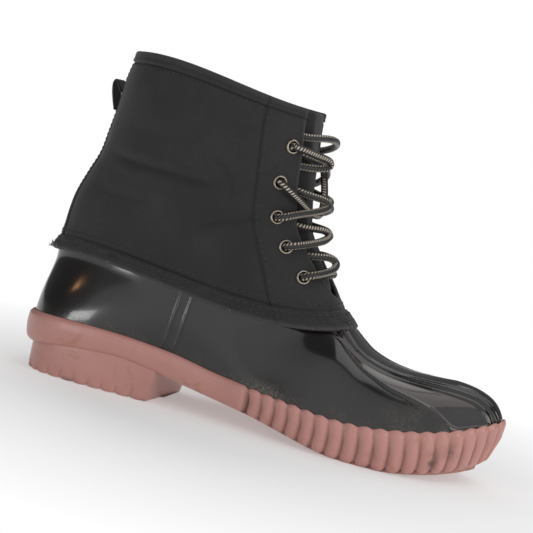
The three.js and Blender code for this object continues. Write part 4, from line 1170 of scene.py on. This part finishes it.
def leather_relief(level, turn, at):
    side = np.abs(turn)
    stay_edge = stay_turn(level)
    panels = np.maximum.reduce([
        STAY_STEP * (1 - smooth(side, stay_edge - .004, stay_edge + .004)),
        FACING_STEP * smooth(side, FACING_SEAM - .003, FACING_SEAM + .003),
        HEM_STEP * (1 - smooth(level, HEM_BAND - .035, HEM_BAND + .035)),
        (COLLAR_STEP + FACING_STEP) * smooth(level, COLLAR_EDGE - .03, COLLAR_EDGE + .03),
    ])
    folds = np.zeros(panels.shape)
    deep = np.zeros(panels.shape)
    flat = at[..., [0, 2]]
    for row in CREASES:
        for way in (-1, 1):
            shift = 0 if way < 0 else OUTER_SHIFT
            line = np.array(row["line"], float) + [shift, -shift]
            gap, share = line_distance(flat, line)
            wide = row["wide"]
            fade = row["deep"] * stretch(share, 0, .25, .75, 1) * smooth(way * at[..., 1], 8, 20)
            folds += fade * (.4 * bell(gap, 2.1 * wide, 1.3 * wide) - bell(gap, 0, wide))
            # Painted shade along the middle of each crease
            deep += fade * bell(gap, 0, .45 * wide)
    body = stretch(level, HEM_BAND, 1.6, 7.6, 8.6)
    folds = folds * body + RELIEF_WAVE * ripples(at, 46, 11) * body * (1 - .6 * smooth(side, .6, .7))
    groove = .45 * bell(side, FACING_SEAM - .003, SEAM_WIDE) + .5 * bell(side, stay_edge, SEAM_WIDE)
    for seam, wide, depth in LEVEL_SEAMS:
        groove += depth * bell(level, seam, wide)
    groove *= smooth(level, .1, .3)
    loose = 1 - smooth(level, HEM_BAND - .1, HEM_BAND)
    flare = HEM_FLARE * (1 - smooth(side, .1, .35)) * (1 - smooth(level, .1, .6))
    pucker = loose * (HEM_PUCKER * ripples(at, 6.5, 21) + flare)
    # The second value is painted shade in the creases and seam grooves
    return panels + folds + pucker - groove, np.clip(deep + 1.5 * groove, 0, 1)


def leather_at(level, turn, extra=0.0):
    at = shaft_base(level, turn)
    out, _ = leather_relief(np.asarray(level, float), np.asarray(turn, float), at)
    return at + shaft_normal(level, turn) * (out + extra)[..., None]


# Levels of the upper's points: first, last and count of each run
LEVEL_RUNS = [
    (0, HEM_BAND - .05, 9), (HEM_BAND - .04, HEM_BAND + .05, 6), (.85, 1.1, 4), (1.12, 1.7, 20),
    (1.75, COLLAR_EDGE - .05, 88), (COLLAR_EDGE - .04, COLLAR_EDGE + .05, 5), (8.75, TOP_RING, 6),
]
UPPER_LEVELS = np.unique(np.round(np.concatenate([np.linspace(*run) for run in LEVEL_RUNS]), 4))


def upper_turns(level, edge):
    stay = stay_turn(level)
    seam = FACING_SEAM + SEAM_EDGE
    marks = [0, stay - SEAM_EDGE, stay + SEAM_EDGE, FACING_SEAM - SEAM_EDGE, seam, 1]
    counts = [7, 5, 74, 6, 44]
    runs = [np.linspace(a, b, n, endpoint=False) for a, b, n in zip(marks, marks[1:], counts)]
    side = np.concatenate([*runs, [1]])
    front = side > seam
    side[front] = seam + (side[front] - seam) * (edge - seam) / (1 - seam)
    return np.concatenate([-side[::-1], side[1:]])


def make_upper():
    edges = throat_turn(UPPER_LEVELS)
    turns = np.stack([upper_turns(level, edge) for level, edge in zip(UPPER_LEVELS, edges)], 1)
    levels = np.broadcast_to(UPPER_LEVELS, turns.shape)
    at = shaft_base(levels, turns)
    normal = shaft_normal(levels, turns)
    out, deep = leather_relief(levels, turns, at)
    outer = at + normal * out[..., None]
    folds = np.clip(out, -2, 0)
    inner = at + normal * (folds - LEATHER)[..., None]
    columns, rows = turns.shape
    faces = grid_faces(columns, rows)[:, ::-1]
    closed = edges >= 1
    index = np.arange(columns * rows).reshape(columns, rows)
    index[-1, closed] = index[0, closed]
    faces = index.reshape(-1)[faces]
    middles = outer.reshape(-1, 3)[faces].mean(axis=1)
    keep = np.ones(len(faces), bool)
    for level, turn in EYELETS:
        for side in (-1, 1):
            away = np.linalg.norm(middles - spot(level, side * turn, FACING_STEP), axis=1)
            keep &= away > EYELET_HOLE / 2 + HOLE_MARGIN
    faces = faces[keep]
    used, back = np.unique(faces, return_inverse=True)
    faces = [tuple(face) for face in back.reshape(faces.shape).tolist()]
    outer, inner = outer.reshape(-1, 3)[used], inner.reshape(-1, 3)[used]
    points, skin = thicken(outer, inner, faces, LEATHER * .45)
    count = len(outer)
    level_flat, turn_flat = levels.reshape(-1)[used], np.abs(turns.reshape(-1)[used])
    edge_flat = np.interp(level_flat, UPPER_LEVELS, edges)
    worn = .55 * bell(level_flat, 0, .08) + .2 * bell(level_flat, TOP_RING, .12)
    worn += .22 * bell(turn_flat, edge_flat, .008) * (edge_flat < 1)
    worn += .25 * (turn_flat < stay_turn(level_flat))
    worn = np.clip(worn, 0, 1)
    # Painted shade in the creases and seam grooves, on the outer skin only
    deep = np.clip(.6 * deep.reshape(-1)[used], 0, 1)
    spare = np.full(len(points) - 2 * count, .35)
    marks = {
        "worn": np.concatenate([worn, worn, spare]),
        "deep": np.concatenate([deep, 0 * deep, 0 * spare]),
    }
    lined = (count, 2 * count)
    piece("upper_leather", points, skin, nubuck, "shaft_leather", ["upper"], marks, lining, lined)


make_upper()


# Thread: rows of stitches that ride on the leather, and loose ends along the hem, most at the back
STITCH_SIDES = 8


def capsules(line, up, length, gap, radius):
    arcs = lengths_along(line)
    at = lambda values, s: np.array([np.interp(s, arcs, values[:, k]) for k in range(3)])
    along = np.array([-1, -.88, -.6, .6, .88, 1])
    thick = np.array([.3, .75, 1, 1, .75, .3])
    angle = np.linspace(0, 2 * np.pi, STITCH_SIDES, endpoint=False)
    rings = len(along)
    faces = grid_faces(STITCH_SIDES, rings, wrap=True).tolist()
    starts = [k * rings for k in range(STITCH_SIDES)]
    faces += [starts[::-1], [n + rings - 1 for n in starts]]
    parts = []
    for start in np.arange(gap, arcs[-1] - length, length + gap):
        first, last = at(line, start), at(line, start + length)
        lift = unit(at(up, start + length / 2))
        ahead = unit(last - first)
        aside = np.cross(ahead, lift)
        spine = (first + last) / 2 + along[:, None] * (last - first) / 2 + lift * (.25 * radius)
        ways = np.cos(angle)[:, None] * aside + .7 * np.sin(angle)[:, None] * lift
        parts.append(((spine + radius * thick[:, None] * ways[:, None]).reshape(-1, 3), faces))
    return joined(*parts)


def leather_row(levels, turns, length=2.3, gap=1.1, radius=.34, steps=400):
    share = np.linspace(0, 1, steps)
    level = np.interp(share, np.linspace(0, 1, len(levels)), levels)
    turn = np.interp(share, np.linspace(0, 1, len(turns)), turns)
    return capsules(leather_at(level, turn), shaft_normal(level, turn), length, gap, radius)


HEM_ROWS = [(1.02, 3.0, .42), (.57, 3.2, .45), (.3, 2.6, .36)]
PATCH_LEVELS = [1.22, .95, .62, .3]
PATCH_TURNS = [.925, .9, .865, .845]
COLLAR_ROW = COLLAR_EDGE - .09
LOOSE_THREADS = 60


def make_stitches():
    stay = lambda level: stay_turn(level) - .012
    parts = [leather_row([level], [-.995, .995], long, 1.3, thick, 900) for level, long, thick in HEM_ROWS]
    for side in (-1, 1):
        seam = side * (FACING_SEAM + .011)
        parts.append(leather_row([1.1, COLLAR_ROW], [seam, seam]))
        parts.append(leather_row([.85, 8.6], [side * stay(.85), side * stay(8.6)], 1.9, 1.0, .28))
        parts.append(leather_row([COLLAR_ROW], [side * .02, side * (throat_turn(8.5) - .012)], 2.1, 1.0, .3))
        parts.append(leather_row(PATCH_LEVELS, [side * turn for turn in PATCH_TURNS], 2.2, .9, .34))
        levels = np.linspace(1.5, 8.55, 40)
        parts.append(leather_row(levels, side * (throat_turn(levels) - .013), 2.0, 1.0, .28))
    piece("upper_stitches", *joined(*parts), thread, "shaft_leather")


def make_loose_threads():
    rng = np.random.default_rng(7)
    parts = []
    for n in range(LOOSE_THREADS):
        behind = n < LOOSE_THREADS // 2
        turn = rng.normal(0, .05) if behind else rng.uniform(-.99, .99)
        reach = rng.uniform(1.5, 4.5) if behind else rng.uniform(.8, 1.8)
        root = leather_at(np.array(.03), np.array(turn), -.3)
        out = shaft_normal(.03, turn)
        drift = rng.normal(size=3) * reach * .35
        bend = [root, root + out * reach * .3 + [0, 0, -reach * .25], root + out * reach * .6 + drift]
        parts.append(tube(even(through(bend, 8), .4), .16, 6)[:2])
    piece("hem_threads", *joined(*parts), raw_thread, "shaft_leather")


make_stitches()
make_loose_threads()


# Tongue: padded leaf behind the facings, that swells forward between them
TONGUE_END = TOP_RING - .05
TONGUE_RIM = .04


def tongue_out(turn):
    share = np.clip((1 - np.abs(turn) - .045) / .075, 0, 1)
    return HEM_SINK - TONGUE_SINK * share * share * (3 - 2 * share)


def make_tongue():
    levels = np.linspace(TONGUE_START, TONGUE_END, 120)
    turns = np.linspace(1 - TONGUE_SPREAD, 1 + TONGUE_SPREAD, 110)
    level, turn = np.meshgrid(levels, turns)
    wrapped = np.where(turn > 1, turn - 2, turn)
    ease = smooth(level, SHELL_TUCK + .1, SHELL_TUCK + 1)
    under = HEM_SINK - SHELL_WALL - 2 * FIT_GAP
    out = under + (tongue_out(wrapped) - under) * ease
    at = shaft_base(level, wrapped)
    normal = shaft_normal(level, wrapped)
    edge = np.minimum(TONGUE_SPREAD - np.abs(turn - 1), TONGUE_RIM) / TONGUE_RIM
    top = np.clip((TONGUE_END - level) / .25, 0, 1)
    relief = .3 * ripples(at, 24, 21) - .5 * (1 - top) ** 2 - .25 * bell(level, 8.55, .05)
    outer = at + normal * (out + relief * ease)[..., None]
    thin = TONGUE_THICK * (.55 + .45 * np.sqrt(edge) * np.sqrt(top * .9 + .1))
    inner = at + normal * (out - thin)[..., None]
    faces = [tuple(face) for face in grid_faces(*level.shape)[:, ::-1].tolist()]
    outer, inner = outer.reshape(-1, 3), inner.reshape(-1, 3)
    points, rows = thicken(outer, inner, faces, .8)
    lined = (len(outer), 2 * len(outer))
    marks = {"worn": np.zeros(len(points)), "deep": np.zeros(len(points))}
    piece("tongue_leaf", points, rows, facing_leather, "tongue_leather", ["tongue"], marks, lining, lined)


make_tongue()


# Insole: footbed cupped towards its edge, whose rim has rings by inset and height
INSOLE_RIM = [(.8, 0), (.2, 2), (.5, 3.4), (1.2, 4), (2.4, 4.1)]
INSOLE_CUP = .5
INSOLE_MARGIN = .7


def make_insole():
    u = at_arc(np.linspace(0, ARCS[-1], 260, endpoint=False))
    inset = SEAT_INSET + 2 * FIT_GAP + SHELL_WALL + INSOLE_MARGIN
    rings = []
    for extra, rise in INSOLE_RIM:
        x, y = outline(u, np.full_like(u, inset + extra)).T
        rings.append(np.stack([x, y, top_over(x) - SEAT_DEPTH + FIT_GAP + rise], -1))
    last = rings[-1]
    for share in np.linspace(.1, 1, 12):
        ring = last.copy()
        ring[:, 1] = last[:, 1] * (1 - share)
        ring[:, 2] = last[:, 2] - INSOLE_CUP * smooth(share, 0, .5)
        rings.append(ring)
    base = rings[0].copy()
    base[:, 1] = 0
    points, faces, _ = ringed([base, *rings])
    piece("insole_footbed", points, faces, footbed, "footbed", ["insole"])


make_insole()

# Pull loop: a strap folded out from the backstay
LOOP_FOLD = [(.11, -.6), (.48, -.3), (.8, .02), (.89, .24), (.76, .33), (.5, .22), (.11, .03)]


def loop_axes():
    root = spot(LOOP_LEVEL, 0, STAY_STEP + FIT_GAP)
    out = shaft_normal(LOOP_LEVEL, 0)
    return root, out, np.array([out[2], 0, -out[0]])


def make_pull_loop():
    root, out, up = loop_axes()
    fold = even(through([(a * LOOP_REACH, b * LOOP_HEIGHT) for a, b in LOOP_FOLD], 12), .5)
    middle = root + fold[:, :1] * out + fold[:, 1:] * up
    ahead = unit(np.gradient(middle, axis=0))
    aside = np.cross([0, 1, 0], ahead)
    across = np.linspace(-LOOP_WIDTH / 2, LOOP_WIDTH / 2, 17)
    grid = middle[:, None] + across[None, :, None] * np.array([0, 1, 0])
    outer = (grid + aside[:, None] * LOOP_WALL / 2).reshape(-1, 3)
    inner = (grid - aside[:, None] * LOOP_WALL / 2).reshape(-1, 3)
    faces = [tuple(face) for face in grid_faces(len(middle), len(across)).tolist()]
    points, rows = thicken(outer, inner, faces, LOOP_WALL * .4)
    marks = {"worn": np.full(len(points), .12), "deep": np.zeros(len(points))}
    piece("pull_loop_strap", points, rows, nubuck, "shaft_leather", ["pull_loop"], marks)


make_pull_loop()


# Eyelets: rolled flange outside, barrel through the facing
def make_eyelets():
    bore, rim = EYELET_HOLE / 2, EYELET_FLANGE / 2
    barrel = bore + EYELET_WALL
    roll = [(barrel, FIT_GAP * .2), (rim - .25, FIT_GAP * .2), (rim, .35), (rim - .1, .75), (rim - .5, 1.12)]
    roll += [(rim - 1.0, FIT_GAP + EYELET_LIP), (bore + .35, 1.0), (bore + .05, .62), (bore, .1)]
    profile = np.array([(bore, -LEATHER - FACING_STEP), (barrel, -LEATHER - FACING_STEP), *roll])
    angle = np.linspace(0, 2 * np.pi, EYELET_SIDES, endpoint=False)
    ring = len(profile)
    for number, (level, turn) in enumerate(EYELETS, 1):
        for side, word in ((-1, "inner"), (1, "outer")):
            centre = spot(level, side * turn, FACING_STEP)
            axis = shaft_normal(level, side * turn)
            first = unit(np.cross(axis, [0, 0, 1]))
            second = np.cross(axis, first)
            ways = np.cos(angle)[:, None] * first + np.sin(angle)[:, None] * second
            grid = centre + ways[:, None] * profile[None, :, :1] + axis * profile[None, :, 1:]
            faces = grid_faces(EYELET_SIDES, ring, wrap=True).tolist()
            for k in range(EYELET_SIDES):
                here, there = k * ring, (k + 1) % EYELET_SIDES * ring
                faces.append([here + ring - 1, there + ring - 1, there, here])
            name = f"eyelet_{word}_{number}"
            piece(name + "_ring", grid.reshape(-1, 3), faces, metal, "eyelet_metal", [name])


make_eyelets()


# Floor and light
BACKGROUND = 1.0
FLOOR_REACH = 60.0
ROOM_FRONT = .42
ROOM_BACK = .14


def floor_material():
    material, tree, shader = new_material("pale_floor")
    grain = noise(tree, 3, 2)
    feed(tree, shader, {
        "Base Color": mixed(tree, grain, (.93, .93, .93), (.95, .95, .95)),
        "Roughness": .9,
    })
    where = node(tree, "ShaderNodeTexCoord").outputs["Object"]
    reach = node(tree, "ShaderNodeVectorMath", {0: where}, operation="LENGTH").outputs["Value"]
    glow = node(tree, "ShaderNodeEmission", {"Color": (1, 1, 1, 1), "Strength": BACKGROUND})
    blend = node(tree, "ShaderNodeMixShader", {
        0: span(tree, reach, .1, .32, .3, 1), 1: shader.outputs[0], 2: glow.outputs[0],
    })
    feed(tree, tree.nodes["Material Output"], {"Surface": blend.outputs[0]})
    return material


def make_floor():
    mesh = bpy.data.meshes.new("floor")
    corners = [(x * FLOOR_REACH, y * FLOOR_REACH, 0) for x, y in ((-1, -1), (1, -1), (1, 1), (-1, 1))]
    mesh.from_pydata(corners, [], [(0, 1, 2, 3)])
    mesh.materials.append(floor_material())
    floor = bpy.data.objects.new("floor", mesh)
    bpy.context.collection.objects.link(floor)


def make_light(name, at, size, radiance, tone=(1, 1, 1), aim=(0, 0, .08), gleam=False):
    data = bpy.data.lights.new(name, "AREA")
    data.shape = "RECTANGLE"
    data.size, data.size_y = size
    data.energy = radiance * math.pi * size[0] * size[1]
    data.color = tone
    light = bpy.data.objects.new(name, data)
    bpy.context.collection.objects.link(light)
    light.visible_diffuse = not gleam
    light.visible_camera = False
    light.location = at
    light.rotation_euler = (Vector(aim) - Vector(at)).to_track_quat("-Z", "Y").to_euler()


# White background for the camera, and a dimmer room that is lighter in front
def make_world():
    world = bpy.data.worlds.new("studio")
    world.use_nodes = True
    tree = world.node_tree
    seen = node(tree, "ShaderNodeLightPath").outputs["Is Camera Ray"]
    way = node(tree, "ShaderNodeTexCoord").outputs["Generated"]
    facing = node(tree, "ShaderNodeVectorMath", {0: way, 1: (.25, -.97, 0)}, operation="DOT_PRODUCT")
    room = span(tree, facing.outputs["Value"], .35, .8, ROOM_BACK, ROOM_FRONT)
    feed(tree, tree.nodes["Background"], {
        "Strength": calc(tree, "MAXIMUM", seen, room),
        "Color": (1, 1, 1, 1),
    })
    bpy.context.scene.world = world
    bpy.context.scene.view_settings.view_transform = "Standard"


make_floor()
make_light("key", (.1, -1.8, 1.1), (3.2, 2.4), .5)
make_light("top", (.8, .2, 1.8), (1.9, 1.6), 1.3)
make_light("side", (1.5, -.8, .45), (.8, .8), 3.6)
make_light("back", (-.3, 1.3, 1.7), (1.6, .8), 1.4)
make_light("window", (-.2, -.2, .036), (.05, .026), 9, aim=(-.1, -.03, .04), gleam=True)
make_light("lamp", (-.84, -.62, .43), (.018, .025), 120, (1, .5, .2), aim=(-.11, -.03, .07), gleam=True)
make_world()
